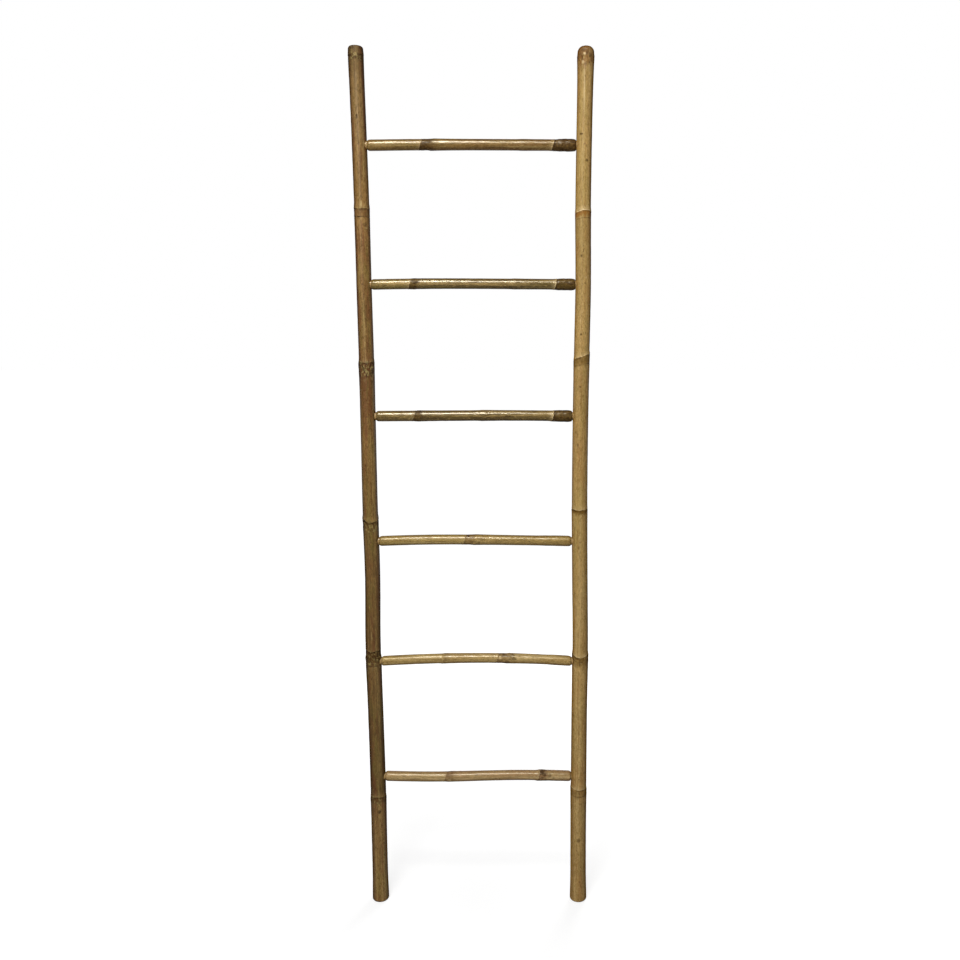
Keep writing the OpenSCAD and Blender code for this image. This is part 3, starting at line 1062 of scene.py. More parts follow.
def close_ends(obj: bpy.types.Object, inset: float) -> None:
    """Fill both open ends of a tube and inset the new faces.

    Args:
        obj: The open tube.
        inset: Width of the ring between an end's edge and its middle.
    """
    lone(obj)
    bpy.ops.object.mode_set(mode="EDIT")
    bpy.ops.mesh.select_mode(type="EDGE")
    bpy.ops.mesh.select_all(action="DESELECT")
    bpy.ops.mesh.select_non_manifold(extend=False, use_wire=False, use_boundary=True,
                                     use_multi_face=False, use_non_contiguous=False,
                                     use_verts=False)
    bpy.ops.mesh.edge_face_add()
    bpy.ops.mesh.select_mode(type="FACE")
    mesh = bmesh.from_edit_mesh(obj.data)
    for face in mesh.faces:
        face.select_set(len(face.verts) > 4)
    bmesh.update_edit_mesh(obj.data)
    bpy.ops.mesh.inset(thickness=inset, depth=0)
    bpy.ops.mesh.inset(thickness=inset * 2, depth=0)
    face_outwards()


def stepped_drill(name: str, sides: int, steps: list[tuple[float, float]]) -> bpy.types.Object:
    """Model a drill along +Z as steps of a radius and a height, from z = 0.

    Args:
        name: Name of the drill.
        sides: Corners round it.
        steps: Radius of each step and the height at which it ends.

    Returns:
        The closed drill.
    """
    bpy.ops.object.select_all(action="DESELECT")
    bpy.ops.mesh.primitive_circle_add(vertices=sides, radius=steps[0][0], fill_type="NGON")
    drill = bpy.context.active_object
    drill.name = name
    bpy.ops.object.mode_set(mode="EDIT")
    radius, low = steps[0][0], 0.0
    for wide, high in steps:
        if wide != radius:
            bpy.ops.mesh.extrude_region_move(TRANSFORM_OT_translate={"value": (0, 0, 0)})
            share = wide / radius
            bpy.ops.transform.resize(value=(share, share, 1))
        bpy.ops.mesh.extrude_region_move(TRANSFORM_OT_translate={"value": (0, 0, high - low)})
        radius, low = wide, high
    face_outwards()
    return drill


def place_at(obj: bpy.types.Object, degrees: float, axis: str, offset: Point) -> None:
    """Turn an object about an axis of the origin, move it, and apply both.

    Args:
        obj: The object.
        degrees: Angle of the turn.
        axis: Name of the axis that it turns about.
        offset: How far it moves.
    """
    lone(obj)
    bpy.ops.transform.rotate(value=math.radians(degrees), orient_axis=axis,
                             center_override=(0, 0, 0))
    bpy.ops.object.transform_apply()
    bpy.ops.transform.translate(value=offset)
    bpy.ops.object.transform_apply()


def drill_out(obj: bpy.types.Object, sets: list[list[bpy.types.Object]]) -> None:
    """Cut sets of drills out of a cane, each set at once, and throw them away.

    Args:
        obj: The cane.
        sets: The sets of drills.
    """
    for drill in [joined(drills) for drills in sets]:
        cut = obj.modifiers.new(drill.name, "BOOLEAN")
        cut.operation, cut.solver, cut.object = "DIFFERENCE", "EXACT", drill
        lone(obj)
        bpy.ops.object.modifier_apply(modifier=drill.name)
        bpy.data.objects.remove(drill, do_unlink=True)


def heal_marks(obj: bpy.types.Object) -> None:
    """Give the corners that the drills made the marks of the nearest older corner.

    Args:
        obj: The drilled cane.
    """
    count = len(obj.data.vertices)
    layers = [obj.data.attributes[name] for name in ("scar", *SCAR_LAYERS, "cane")]
    marks = np.empty((len(layers), count * 3), dtype=np.float32)
    for layer, row in zip(layers, marks):
        layer.data.foreach_get("vector", row)
    marks = marks.reshape(len(layers), count, 3)
    older = np.flatnonzero(marks[-1, :, 0] > 0)
    tree = kdtree.KDTree(len(older))
    for index in older.tolist():
        tree.insert(obj.data.vertices[index].co, index)
    tree.balance()
    for index in np.flatnonzero(marks[-1, :, 0] <= 0).tolist():
        marks[:, index] = marks[:, tree.find(obj.data.vertices[index].co)[1]]
    for layer, row in zip(layers, marks):
        layer.data.foreach_set("vector", row.ravel())


def joined(parts: list[bpy.types.Object]) -> bpy.types.Object:
    """Join objects that don't touch into the first one.

    Args:
        parts: The objects.

    Returns:
        The first one, which now holds them all.
    """
    lone(parts[0])
    for part in parts:
        part.select_set(True)
    bpy.ops.object.join()
    return parts[0]


def smooth(obj: bpy.types.Object, degrees: float = 40) -> None:
    """Shade an object smooth, with edges over an angle kept sharp."""
    lone(obj)
    bpy.ops.object.shade_smooth_by_angle(angle=math.radians(degrees))


# Canes

# Where the finer rings round a scar end, past its band or its torn line, and their spacing
BAND_STRETCHES = ((-26 * MM, RINGS_PLAIN), (-5 * MM, RINGS_BAND))
LINE_STRETCHES = ((5 * MM, RINGS_LINE), (16 * MM, RINGS_TIP))

# Length at each end over which the relief of the skin dies away
END_CALM = 4 * MM

# Ribs round a cane, and the heights of its ribs, lumps and torn lips in millimetres
RIB_COUNTS = (9, 17)
RIB_HEIGHT = 0.035
LUMP_HEIGHT = 0.08
LIP_HEIGHT = 0.3

# Lumps round and along a cane
LUMP_TURNS = 2.2
LUMP_LENGTH = 9 * MM
LUMP_GAIN = 1.6

# Share of bare wood at the edge of a rung's shoulder, and how far the bare wood reaches
BARE_SHARE = 0.6
BARE_LENGTH = 1.2 * MM

# How much finer the grain is round a cane than along it
GRAIN = 40

# How far the marks of a scar reach, in widths of its band and beyond, and how they fade
MARK_BANDS = 1.6
MARK_REACH = 16 * MM
MARK_FADE = 10 * MM

# Vector attributes of a cane's mesh that tell how the nearest scar looks
SCAR_LAYERS = {"scar_look": ("dark", "mottle", "lip"), "scar_more": ("crack", "ring", "ruddy")}


@dataclass
class Cane:
    """A grown cane with leaf scars, extruded upwards from its root end at the origin.

    Attributes:
        name: Name of the piece.
        node: CAD node that the piece stands for.
        length: Length of its stem.
        scars: Its leaf scars, from the root end up.
        finish: Its skin.
        specks: Its small marks, with a few painted highlights and painted shade among them.
        tones: Share of the length, brightness and ruddiness at places up the cane.
        sides: Corners round it.
        tail: Length over which a swelling dies away towards the root.
        scar_swell: Usual swelling of a scar.
        seed: Start of its own small lumps.
    """

    name: str
    node: str
    length: float
    scars: tuple[Scar, ...]
    finish: CaneFinish
    tones: tuple[tuple[float, float, float], ...]
    specks: tuple[Speck, ...] = ()
    sides: int = 64
    tail: float = SCAR_TAIL
    scar_swell: float = SCAR_SWELL
    seed: float = 0.0

    def spot(self, speck: Speck) -> tuple[Vector, Vector]:
        """Place of a speck, and one over its half size along each axis."""
        raise NotImplementedError

    def girth(self, along: np.ndarray) -> np.ndarray:
        """Radius of the cane without the small relief of its skin."""
        raise NotImplementedError

    def girth_at(self, place: float) -> float:
        """Radius of the cane at one distance from its root end."""
        return float(self.girth(np.array([place]))[0])

    def radius(self, along: np.ndarray, angle: np.ndarray) -> np.ndarray:
        """Radius with the relief of the skin, which dies away at both ends."""
        ends = np.minimum(along, self.length - along)
        return self.girth(along) + self.relief(along, angle) * np.clip(ends / END_CALM, 0, 1)

    def swollen(self, along: np.ndarray) -> np.ndarray:
        """Extra radius at the leaf scars."""
        shares = [scar.swelling(along, self.tail, SCAR_RISE) for scar in self.scars]
        return self.scar_swell * np.sum(shares, axis=0)

    @property
    def marked(self) -> list[Scar]:
        """The scars that bear marks."""
        return [scar for scar in self.scars if not scar.plain]

    def stretches(self, low: float, high: float) -> list[tuple[float, float]]:
        """Ring spacings between two heights, fine near each scar.

        Args:
            low: Height at which the stretches start.
            high: Height at which they end.

        Returns:
            The end of each stretch and its spacing.
        """
        found: list[tuple[float, float]] = []
        for scar in self.marked:
            fine = [(scar.place - scar.band + past, rings) for past, rings in BAND_STRETCHES]
            fine += [(scar.place + past, rings) for past, rings in LINE_STRETCHES]
            floor = found[-1][0] if found else low
            found += [(end, spacing) for end, spacing in fine if floor + MM < end < high - MM]
        return [*found, (high, RINGS_PLAIN)]

    def lift(self, along: np.ndarray, angle: np.ndarray) -> np.ndarray:
        """How far the torn lines of the scars pull the rings along the cane.

        Args:
            along: Distances of the corners from the root end.
            angle: Their angles round the cane.

        Returns:
            The pull at each corner.
        """
        room = np.minimum(1, np.minimum(along, self.length - along) / LINE_REACH)
        pulls = [scar.torn_line(angle) * bell(along, scar.place, LINE_REACH)
                 for scar in self.marked]
        return np.sum(pulls, axis=0) * np.clip(room, 0, 1)

    def relief(self, along: np.ndarray, angle: np.ndarray) -> np.ndarray:
        """Small relief of the skin: torn lips, cracks, rings, ribs and lumps.

        Args:
            along: Distances from the root end.
            angle: Angles round the cane.

        Returns:
            Extra radius at each corner.
        """
        total = np.zeros_like(along)
        lumps = self.lumps(along, angle)
        for scar in self.marked:
            past = (along - scar.place) / MM
            shape = LIP_HEIGHT * bell(past, 0, 1.1)
            shape -= (0.15 + 0.3 * scar.crack) * bell(past, -2, 1.2)
            if scar.ring:
                ring = past + scar.ring
                shape += 0.2 * bell(ring, 1.4, 1.2)
                shape -= 0.25 * bell(ring, 0, 1.3)
            inside = np.clip(-past / 4, 0, 1) * np.clip((past + scar.band / MM) / 4, 0, 1)
            total += shape * (0.75 + 0.25 * lumps) + 0.3 * scar.mottle * inside * lumps
        broad, fine = RIB_COUNTS
        ribs = np.cos(angle * broad + 2.5 * lumps) + 0.6 * np.cos(angle * fine + 4 * lumps)
        return (total + RIB_HEIGHT * ribs + LUMP_HEIGHT * lumps) * MM

    def lumps(self, along: np.ndarray, angle: np.ndarray) -> np.ndarray:
        """Soft noise round and along the cane, from about -1 to 1.

        Args:
            along: Distances of the corners from the root end.
            angle: Their angles round the cane.

        Returns:
            The noise at each corner.
        """
        places = np.stack((np.cos(angle) * LUMP_TURNS, np.sin(angle) * LUMP_TURNS,
                           along / LUMP_LENGTH + self.seed), axis=1)
        return np.array([noise.noise(place) for place in places]) * LUMP_GAIN

    def nearest(self, along: np.ndarray, values: list[float]) -> np.ndarray:
        """Value of the scar that each corner is nearest to."""
        gaps = np.abs(along[:, None] - np.array([scar.place for scar in self.marked]))
        return np.array(values)[gaps.argmin(axis=1)]

    def paint_marks(self, obj: bpy.types.Object, along: np.ndarray, bare: np.ndarray) -> None:
        """Store where each corner lies from its scar, and how that scar looks.

        Args:
            obj: The cane.
            along: Distance of each corner from the root end before it was lifted.
            bare: Share of bare wood at each corner.
        """
        scars = self.marked
        past = along - self.nearest(along, [scar.place for scar in scars])
        reach = self.nearest(along, [MARK_BANDS * scar.band + MARK_REACH for scar in scars])
        near = np.clip((reach - np.abs(past)) / MARK_FADE, 0, 1)
        paint(obj, "scar", past / MM, near,
              self.nearest(along, [scar.band / MM for scar in scars]))
        for layer, names in SCAR_LAYERS.items():
            paint(obj, layer, *(self.nearest(along, [getattr(scar, name) for scar in scars])
                                for name in names))
        places, tones, ruddy = zip(*self.tones)
        share = along / self.length
        paint(obj, "cane", np.interp(share, places, tones), bare,
              np.interp(share, places, ruddy))

    def dress(self, obj: bpy.types.Object, groups: Groups, stretch: Point) -> None:
        """Give the cane its material and let it take its node's place.

        Args:
            obj: The finished cane.
            groups: The shared node groups.
            stretch: Scale of the grain along the axes.
        """
        heal_marks(obj)
        smooth(obj)
        obj.data.materials.clear()
        marks = [(*self.spot(speck), speck.depth) for speck in self.specks]
        obj.data.materials.append(
            self.finish.material(self.name + "_skin", groups, stretch, marks))
        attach(obj, BODY)
        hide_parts(self.node)
        LOG.info("%s: %d corners", self.name, len(obj.data.vertices))


@dataclass
class Pole(Cane):
    """One of the two tall poles.

    Attributes:
        side: Which pole it is.
    """

    side: Side = Side.LEFT

    def girth(self, along: np.ndarray) -> np.ndarray:
        """Radius of the plain pole with its swellings.

        Args:
            along: Heights on the pole.

        Returns:
            The radius at each height.
        """
        foot, top = FOOT_D[self.side.value], TOP_D[self.side.value]
        return ((foot + (top - foot) * along / POLE_HEIGHT) / 2 + self.swollen(along)
                + FOOT_FLARE * bell(along, 0, SCAR_TAIL))

    def bend(self, along: np.ndarray) -> tuple[np.ndarray, np.ndarray]:
        """Place of the pole's centre line across and back.

        Args:
            along: Heights on the pole.

        Returns:
            Its places across and its places back.
        """
        share = along / POLE_HEIGHT
        across = POLE_BOW * smooth_curve(POLE_BENDS[self.side.value], share)
        back = POLE_BOW * smooth_curve(POLE_LEANS[self.side.value], share)
        return self.side.sign * POLE_SPACING / 2 + across, back

    def centre(self, height: float) -> tuple[float, float]:
        """Centre of the pole at one height."""
        across, back = self.bend(np.array([height]))
        return float(across[0]), float(back[0])

    def spot(self, speck: Speck) -> tuple[Vector, Vector]:
        """Place of a speck in the finished ladder, and its shape.

        Args:
            speck: The speck.

        Returns:
            Its place, and one over its half size along each axis.
        """
        height, angle = speck.at * MM, math.radians(speck.turn)
        across, back = self.centre(height)
        radius = self.girth_at(height)
        place = Vector((across + radius * math.cos(angle), back + radius * math.sin(angle), height))
        return place, Vector((1 / speck.wide, 1 / speck.wide, 1 / speck.long)) / MM

    def build(self, groups: Groups) -> bpy.types.Object:
        """Extrude, swell, bend, close and drill the pole.

        Args:
            groups: The shared node groups.

        Returns:
            The finished pole.
        """
        crown = TOP_ROUND[self.side.value]
        spans = [(FOOT_ROUND, RINGS_FOOT), *self.stretches(FOOT_ROUND, POLE_HEIGHT - crown),
                 (POLE_HEIGHT, RINGS_ROUND)]
        core = TOP_D[self.side.value] / 2 - crown - MM
        pole = extruded_tube(self.name, core, self.sides, 0.0, spans)
        along, angle = ring_places(pole)
        radius = self.radius(along, angle)
        radius -= quarter_round(along, FOOT_ROUND, FOOT_ROUND)
        radius -= quarter_round(POLE_HEIGHT - along, crown, crown)
        push(pole, "girth", Push.OUTWARD, radius - core)
        across, back = self.bend(along)
        push(pole, "along", Push.ALONG, self.lift(along, angle))
        push(pole, "across", Push.ACROSS, across)
        push(pole, "back", Push.BACK, back)
        self.paint_marks(pole, along, np.zeros_like(along))
        close_ends(pole, 2 * MM)
        drill_out(pole, self.drills())
        self.dress(pole, groups, (1, 1, 1 / GRAIN))
        return pole

    def drills(self) -> list[list[bpy.types.Object]]:
        """Model the drills of the pole's sockets and of its brads' holes.

        Returns:
            The set of the sockets' drills, and that of the holes' drills.
        """
        start = BRAD_HEAD_H + FOOT_D[0]
        sockets, holes = [], []
        for rung in RUNGS:
            socket = stepped_drill(f"socket_{rung.number}", SOCKET_SIDES, [
                (TENON_D / 2 + TENON_CLEARANCE, rung.tenon_length(self.side) + SOCKET_END_GAP)])
            place_at(socket, -90 * self.side.sign, "Y",
                     (rung.shoulder(self.side), 0, rung.height))
            sockets.append(socket)
            hole = stepped_drill(f"hole_{rung.number}", HOLE_SIDES, [
                (BRAD_HEAD_D / 2 + BRAD_CLEARANCE, start),
                (BRAD_D / 2 + BRAD_CLEARANCE, start + BRAD_LENGTH)])
            across, back, height = rung.brad_seat(self.side)
            place_at(hole, 90, "X", (across, back - BRAD_HEAD_H - FOOT_D[0], height))
            holes.append(hole)
        return [sockets, holes]


@dataclass
class Rung(Cane):
    """One of the six rungs, with its root end at the right pole.

    Attributes:
        number: Its number, counted from the top one down.
    """

    number: int = 1

    @property
    def height(self) -> float:
        """Height of its tenons."""
        return rung_height(self.number)

    def shoulder(self, side: Side) -> float:
        """Place across the ladder of the shoulder at one pole."""
        return rung_shoulder(self.number, side)

    def tenon_length(self, side: Side) -> float:
        """Length of a tenon from its shoulder."""
        end = POLES[side.value].centre(self.height)[0] + side.sign * TENON_REACH
        return abs(end - self.shoulder(side))

    def brad_seat(self, side: Side) -> Point:
        """Place of the underside of a brad's head.

        Args:
            side: Side of the joint.

        Returns:
            The middle of the underside.
        """
        pole = POLES[side.value]
        across, back = pole.centre(self.height)
        across += BRAD_HEAD_D * BRAD_ERRORS[side.value][self.number - 1]
        face = back - pole.girth_at(self.height)
        return across, face + BRAD_SINK + BRAD_HEAD_H, self.height

    def girth(self, along: np.ndarray) -> np.ndarray:
        """Radius of the plain rung with its swellings and its thick root end.

        Args:
            along: Distances from the root end.

        Returns:
            The radius at each distance.
        """
        index = self.number - 1
        root = 1 + np.exp((along - ROOT_LENGTH) / (ROOT_LENGTH / 12))
        return ((RUNG_D + RUNG_SPREAD * RUNG_SPREADS[index]) / 2 + self.swollen(along)
                + ROOT_SWELL * RUNG_ROOTS[index] / root)

    def rise(self, along: np.ndarray) -> np.ndarray:
        """Rise of the rung's centre line.

        Args:
            along: Distances from the root end.

        Returns:
            The rise at each distance.
        """
        index = self.number - 1
        u = np.clip(2 * along / self.length - 1, -1, 1)
        return RUNG_ARCH * (RUNG_ARCHES[index] * (1 - u * u)
                            + RUNG_SWAYS[index] * np.sin(math.pi * u))

    def spot(self, speck: Speck) -> tuple[Vector, Vector]:
        """Place of a speck in the finished ladder, and its shape.

        Args:
            speck: The speck.

        Returns:
            Its place, and one over its half size along each axis.
        """
        along, angle = speck.at * MM, math.radians(speck.turn)
        radius, rise = self.girth_at(along), float(self.rise(np.array([along]))[0])
        place = Vector((self.shoulder(Side.RIGHT) - along, radius * math.sin(angle),
                        self.height + rise + radius * math.cos(angle)))
        return place, Vector((1 / speck.long, 1 / speck.wide, 1 / speck.wide)) / MM

    def build(self, groups: Groups) -> bpy.types.Object:
        """Extrude, swell, bend, close, drill and lay down the rung.

        Args:
            groups: The shared node groups.

        Returns:
            The finished rung.
        """
        root, tip = self.tenon_length(Side.RIGHT), self.tenon_length(Side.LEFT)
        top = self.length + tip
        chamfer, core, step = TENON_CHAMFER, TENON_D / 2, EDGE_STEP
        root_round = SHOULDER_LENGTH * (1 + RUNG_ROOTS[self.number - 1])
        spans = [(chamfer - root, chamfer), (-RINGS_ROUND, RINGS_TENON), (0, step),
                 (step, step), (root_round, RINGS_ROUND),
                 *self.stretches(root_round, self.length - SHOULDER_LENGTH),
                 (self.length - step, RINGS_ROUND), (self.length, step),
                 (self.length + RINGS_ROUND, step), (top - chamfer, RINGS_TENON),
                 (top, chamfer)]
        rung = extruded_tube(self.name, core - chamfer, self.sides, -root, spans)
        along, angle = ring_places(rung)
        on_stem = (along > step / 2) & (along < self.length - step / 2)
        radius = self.radius(along, angle)
        for distance, length in ((along, root_round), (self.length - along, SHOULDER_LENGTH)):
            edge = self.girth_at(along[distance.argmin()])
            depth = min(SHOULDER_DEPTH, edge - TENON_D / 2 - 2 * TENON_CLEARANCE)
            radius -= quarter_round(np.maximum(distance, 0), length, depth)
        chamfers = quarter_round(np.minimum(along + root, top - along), chamfer, chamfer)
        radius = np.where(on_stem, radius, core - chamfers)
        push(rung, "girth", Push.OUTWARD, radius - (core - chamfer))
        ends = np.minimum(along, self.length - along)
        bare = np.clip(BARE_SHARE - ends / BARE_LENGTH * BARE_SHARE, 0, 1)
        push(rung, "along", Push.ALONG, np.where(on_stem, self.lift(along, angle), 0))
        push(rung, "across", Push.ACROSS, np.where(on_stem, self.rise(along), 0))
        self.paint_marks(rung, along, np.where(on_stem, bare, 1))
        close_ends(rung, MM)
        place_at(rung, 90, "Y", (self.shoulder(Side.RIGHT), 0, self.height))
        drill_out(rung, self.drills())
        self.dress(rung, groups, (1 / GRAIN, 1, 1))
        return rung

    def drills(self) -> list[list[bpy.types.Object]]:
        """Model the drills of the brads' holes through the rung's tenons.

        Returns:
            One set, with a drill for each hole.
        """
        holes = []
        for side in Side:
            hole = stepped_drill(f"pin_{side.name}", HOLE_SIDES,
                                 [(BRAD_D / 2 + BRAD_CLEARANCE, BRAD_LENGTH)])
            place_at(hole, 90, "X", self.brad_seat(side))
            holes.append(hole)
        return [holes]


def rung_height(number: int) -> float:
    """Height of a rung's tenons above the floor."""
    nudge = RUNG_NUDGE * RUNG_NUDGES[number - 1]
    return LOWEST_RUNG + (RUNG_COUNT - number) * RUNG_PITCH + nudge


def rung_shoulder(number: int, side: Side) -> float:
    """Place across the ladder of a rung's shoulder.

    Args:
        number: Number of the rung, counted from the top.
        side: Side of the shoulder.

    Returns:
        Its place along X.
    """
    height = rung_height(number)
    gap = face_radius(side, height) + NECK * NECK_SHARES[side.value][number - 1]
    return POLES[side.value].centre(height)[0] - side.sign * gap


# Share of the length, brightness and ruddiness at places up each pole

BROWN_TONES = (
    (0, 1.2, 0.5), (0.1, 1.1, 0.4), (0.13, 1.08, 0.4), (0.15, 0.75, 0.4), (0.31, 0.85, 0.3),
    (0.33, 0.8, 0.3), (0.47, 0.85, 0.3), (0.49, 1.0, 0.4), (0.6, 1.0, 0.3), (0.65, 0.8, 0.8),
    (0.67, 1.05, 0.5), (0.8, 1.12, 0.5), (0.83, 1.28, 0.2), (0.88, 1.08, 0.3), (0.92, 0.88, 0.7),
    (0.968, 0.84, 0.7), (0.975, 0.68, 0.6), (1, 0.52, 0.5))
GOLD_TONES = (
    (0, 1.08, 0.3), (0.13, 0.98, 0.1), (0.15, 1.05, 0.3), (0.31, 1.05, 0.1), (0.33, 1.0, 0.2),
    (0.48, 1.0, 0), (0.5, 1.05, 0.1), (0.65, 1.0, 0.3), (0.67, 1.1, 0.1), (0.82, 1.02, 0.3),
    (0.84, 1.12, 0.1), (0.975, 1.0, 0.2), (0.987, 0.75, 0.9), (1, 0.65, 1))

POLES = (
    Pole(name="brown_pole", node="left_pole", length=POLE_HEIGHT, scars=POLE_SCARS[0],
         finish=BROWN_CANE, tones=BROWN_TONES, specks=POLE_SPECKS[0], side=Side.LEFT,
         seed=3.0),
    Pole(name="gold_pole", node="right_pole", length=POLE_HEIGHT, scars=POLE_SCARS[1],
         finish=GOLD_CANE, tones=GOLD_TONES, specks=POLE_SPECKS[1], side=Side.RIGHT,
         seed=71.0),
)


def make_rung(number: int) -> Rung:
    """Describe one rung, with its scars placed along its own length.

    Args:
        number: Its number, counted from the top one down.

    Returns:
        The rung, ready to be built.
    """
    length = rung_shoulder(number, Side.RIGHT) - rung_shoulder(number, Side.LEFT)
    scars = []
    if RUNG_ROOTS[number - 1] == 1:
        line = ROOT_LINES[number - 1] * MM
        scars.append(Scar(at=ROOT_LENGTH + line, swell=0, edge=ROOT_EDGE, band=ROOT_BAND,
                          dark=0.8, mottle=0.9, lip=0.7, crack=0.5))
    for share, swell, line, dark, band in RUNG_SCARS[number - 1]:
        scars.append(Scar(at=share * length, swell=swell, line=line * MM, edge=RUNG_EDGE,
                          band=band * MM, dark=dark, mottle=min(1.5 * dark, 1),
                          lip=0.4 * dark, crack=0.6 * dark, plain=not dark))
    low, low_ruddy, high, high_ruddy = RUNG_TONES[number - 1]
    last = scars[-1].place / length
    tones = ((0, low, low_ruddy), (last - TONE_CHANGE, low, low_ruddy),
             (last + TONE_CHANGE, high, high_ruddy), (1, high, high_ruddy))
    return Rung(name=f"cane_rung_{number}", node=f"rung_{number}", length=length,
                scars=tuple(scars), finish=RUNG_FINISHES[number - 1], tones=tones,
                specks=RUNG_SPECKS[number - 1], sides=48, tail=RUNG_SCAR_TAIL,
                scar_swell=RUNG_SCAR_SWELL, seed=13.0 * number, number=number)


RUNGS = tuple(make_rung(number) for number in range(1, RUNG_COUNT + 1))


# Brads


@dataclass
class Brads:
    """The brads of one pole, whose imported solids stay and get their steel.

    Attributes:
        side: The pole that they are driven into.
        finish: Their steel.
    """

    side: Side
    finish: BradFinish

    def dress(self) -> None:
        """Give every brad of the pole the same steel."""
        side = self.side.name.lower()
        steel = self.finish.material("brad_steel_" + side)
        for name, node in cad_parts.items():
            if name.startswith("brad_") and name.endswith(side):
                node.data.materials.clear()
                node.data.materials.append(steel)
                LOG.info("%s: dressed", name)


BRADS = (
    Brads(Side.LEFT, BradFinish(steel=(122, 94, 56), rust=(88, 58, 30))),
    Brads(Side.RIGHT, BradFinish(steel=(176, 146, 92), rust=(134, 98, 52))),
)


# Studio


WHITE = (1.0, 1.0, 1.0, 1.0)
AMBIENT = 0.17


class Lights(Enum):
    """What a lamp lights, with the setting that is turned off for it."""

    ALL = ""
    SHINE = "visible_diffuse"
    MATT = "visible_glossy"


@dataclass(frozen=True)
class Lamp:
    """A soft box.

    Attributes:
        name: Its name.
        place: Its place.
        target: The point that it faces.
        size: Its width and height.
        watts: Its power.
        lights: What it lights.
    """

    name: str
    place: Point
    target: Point
    size: tuple[float, float]
    watts: float
    lights: Lights = Lights.ALL

    def hang(self) -> None:
        """Add the lamp to the scene."""
        data = bpy.data.lights.new(self.name, "AREA")
        data.shape, data.size, data.size_y = "RECTANGLE", *self.size
        data.energy = self.watts
        lamp = bpy.data.objects.new(self.name, data)
        lamp.location = self.place
        facing = Vector(self.target) - Vector(self.place)
        lamp.rotation_euler = facing.to_track_quat("-Z", "Y").to_euler()
        if self.lights.value:
            setattr(lamp, self.lights.value, False)
        bpy.context.scene.collection.objects.link(lamp)


LAMPS = (
    Lamp("top_box", (-0.25, -1.73, 3.56), (0, 0, 1.0), (0.95, 0.6), 56),
    Lamp("strip_box", (-0.3, -2.0, 2.4), (0, 0, 1.7), (0.35, 0.9), 3.5),
    Lamp("glint_box", (-0.5, -1.5, 3.2), (0, 0, 1.0), (0.8, 0.45), 36, Lights.SHINE),
    Lamp("front_fill", (-0.78, -2.1, 1.5), (0, 0, 0.75), (1.1, 1.6), 27, Lights.MATT),
    Lamp("back_fill", (0.9, 2.2, 1.2), (0, 0, 0.9), (1.1, 1.6), 42, Lights.MATT),
)


def seen_as_backdrop(g: Graph, behind: Wire) -> Wire:
    """Tell which rays see the white sweep that hangs behind the ladder.

    The camera sees it everywhere. Reflections and refractions see it only behind the
    ladder, because the front of a studio is dark.

    Args:
        g: The node tree of the world or of the floor.
        behind: Share of the place or direction that lies behind the ladder.

    Returns:
        1 where a ray sees white.
    """
    rays = g.outs("LightPath")
    bounced = g.most(rays["Is Glossy Ray"], rays["Is Transmission Ray"])
    return g.most(rays["Is Camera Ray"], bounced * behind)


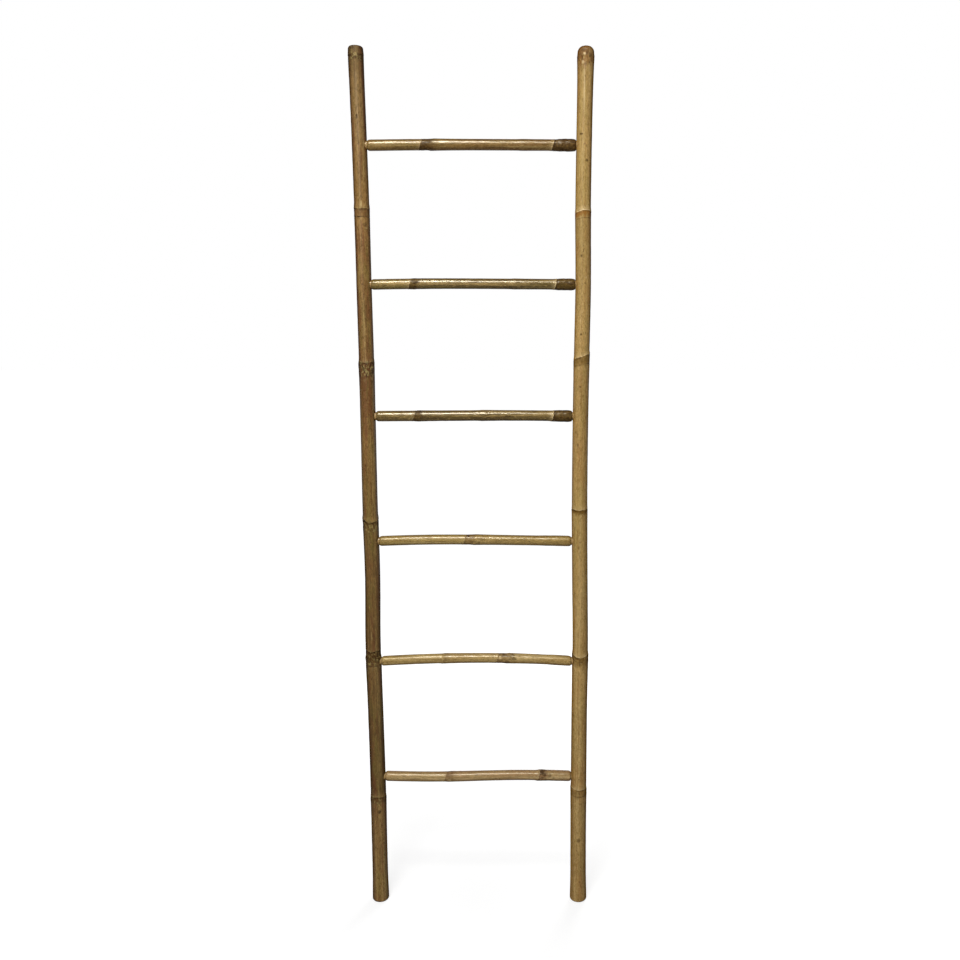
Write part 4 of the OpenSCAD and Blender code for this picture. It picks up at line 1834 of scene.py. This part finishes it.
@dataclass
class Studio:
    """Pale floor, backdrop and camera.

    Attributes:
        eye: Place of the camera.
        tilt: How far the camera looks down, in degrees.
        lens: Focal length in millimetres.
        sensor: Width of the sensor in millimetres.
        shift: Sideways shift of the frame.
        clip: Nearest and farthest that the camera sees.
        sweep: How straight back a direction points where the world starts to turn white,
            and where it is white.
        floor_sweep: Distances behind the ladder at which the floor does the same.
        floor_size: Side of the floor.
        floor_drop: How far the floor lies under the feet.
        floor_grey: How much light the floor throws back.
        glow: Glow of the floor at the ladder's foot, and away from it.
        glow_reach: Distance from the ladder at which the glow is full.
    """

    eye: Point = (0.1238, -1.9278, 1.3265)
    tilt: float = 9.394
    lens: float = 33.39
    sensor: float = 36.0
    shift: float = -0.0538
    clip: tuple[float, float] = (0.05, 100.0)
    sweep: tuple[float, float] = (0.8, 0.86)
    floor_sweep: tuple[float, float] = (1.8, 2.4)
    floor_size: float = 60.0
    floor_drop: float = 0.1 * MM
    floor_grey: float = 0.3
    glow: tuple[float, float] = (0.72, 0.98)
    glow_reach: float = 2.0

    def camera(self) -> None:
        """Place the camera that took the photograph."""
        data = bpy.data.cameras.new("camera")
        data.lens, data.shift_x, data.sensor_width = self.lens, self.shift, self.sensor
        data.clip_start, data.clip_end = self.clip
        camera = bpy.data.objects.new("camera", data)
        camera.location = self.eye
        camera.rotation_euler = (math.radians(90 - self.tilt), 0, 0)
        bpy.context.scene.collection.objects.link(camera)
        bpy.context.scene.camera = camera

    def backdrop(self) -> None:
        """Make the world white to the eye and dimmer as a light."""
        world = bpy.data.worlds.new("white")
        bpy.context.scene.world = world
        world.use_nodes = True
        g = Graph(world.node_tree)
        way = g.split(g.out("TexCoord", output="Generated"))[1]
        seen = seen_as_backdrop(g, way.step(*self.sweep))
        dim, white = (g.out("Background", {"Color": WHITE, "Strength": strength})
                      for strength in (AMBIENT, 1.0))
        g.add("OutputWorld", {0: g.out("MixShader", {0: seen, 1: dim, 2: white})})

    def floor(self) -> None:
        """Lay a pale floor that keeps the ladder's shadow."""
        bpy.ops.object.select_all(action="DESELECT")
        bpy.ops.mesh.primitive_plane_add(size=self.floor_size,
                                         location=(0, 0, -self.floor_drop))
        floor = bpy.context.active_object
        floor.name = "floor"
        material, g = new_material("floor_white")
        place = g.out("TexCoord", output="Object")
        seen = seen_as_backdrop(g, g.split(place)[1].step(*self.floor_sweep))
        near, far = self.glow
        glow = g.out("MapRange", {"Value": g.length(place), "From Min": 0.0,
                                  "From Max": self.glow_reach, "To Min": near, "To Max": far})
        matt = g.out("BsdfDiffuse", {"Color": (*(self.floor_grey,) * 3, 1)})
        lift = g.out("Emission", {"Color": WHITE, "Strength": seen * glow})
        g.add("OutputMaterial", {0: g.out("AddShader", {0: matt, 1: lift})})
        floor.data.materials.append(material)

    def build(self) -> None:
        """Set up the whole studio."""
        self.camera()
        for lamp in LAMPS:
            lamp.hang()
        self.backdrop()
        self.floor()


def main() -> None:
    """Build the studio and the ladder in order."""
    logging.basicConfig(level=logging.INFO, format="%(name)s: %(message)s")
    bpy.context.scene.view_settings.view_transform = "Standard"
    Studio().build()
    groups = Groups(skin_group(grain_group(), scar_group()), speck_group())
    for cane in (*POLES, *RUNGS):
        cane.build(groups)
    for brads in BRADS:
        brads.dress()


if __name__ == "__main__":
    main()
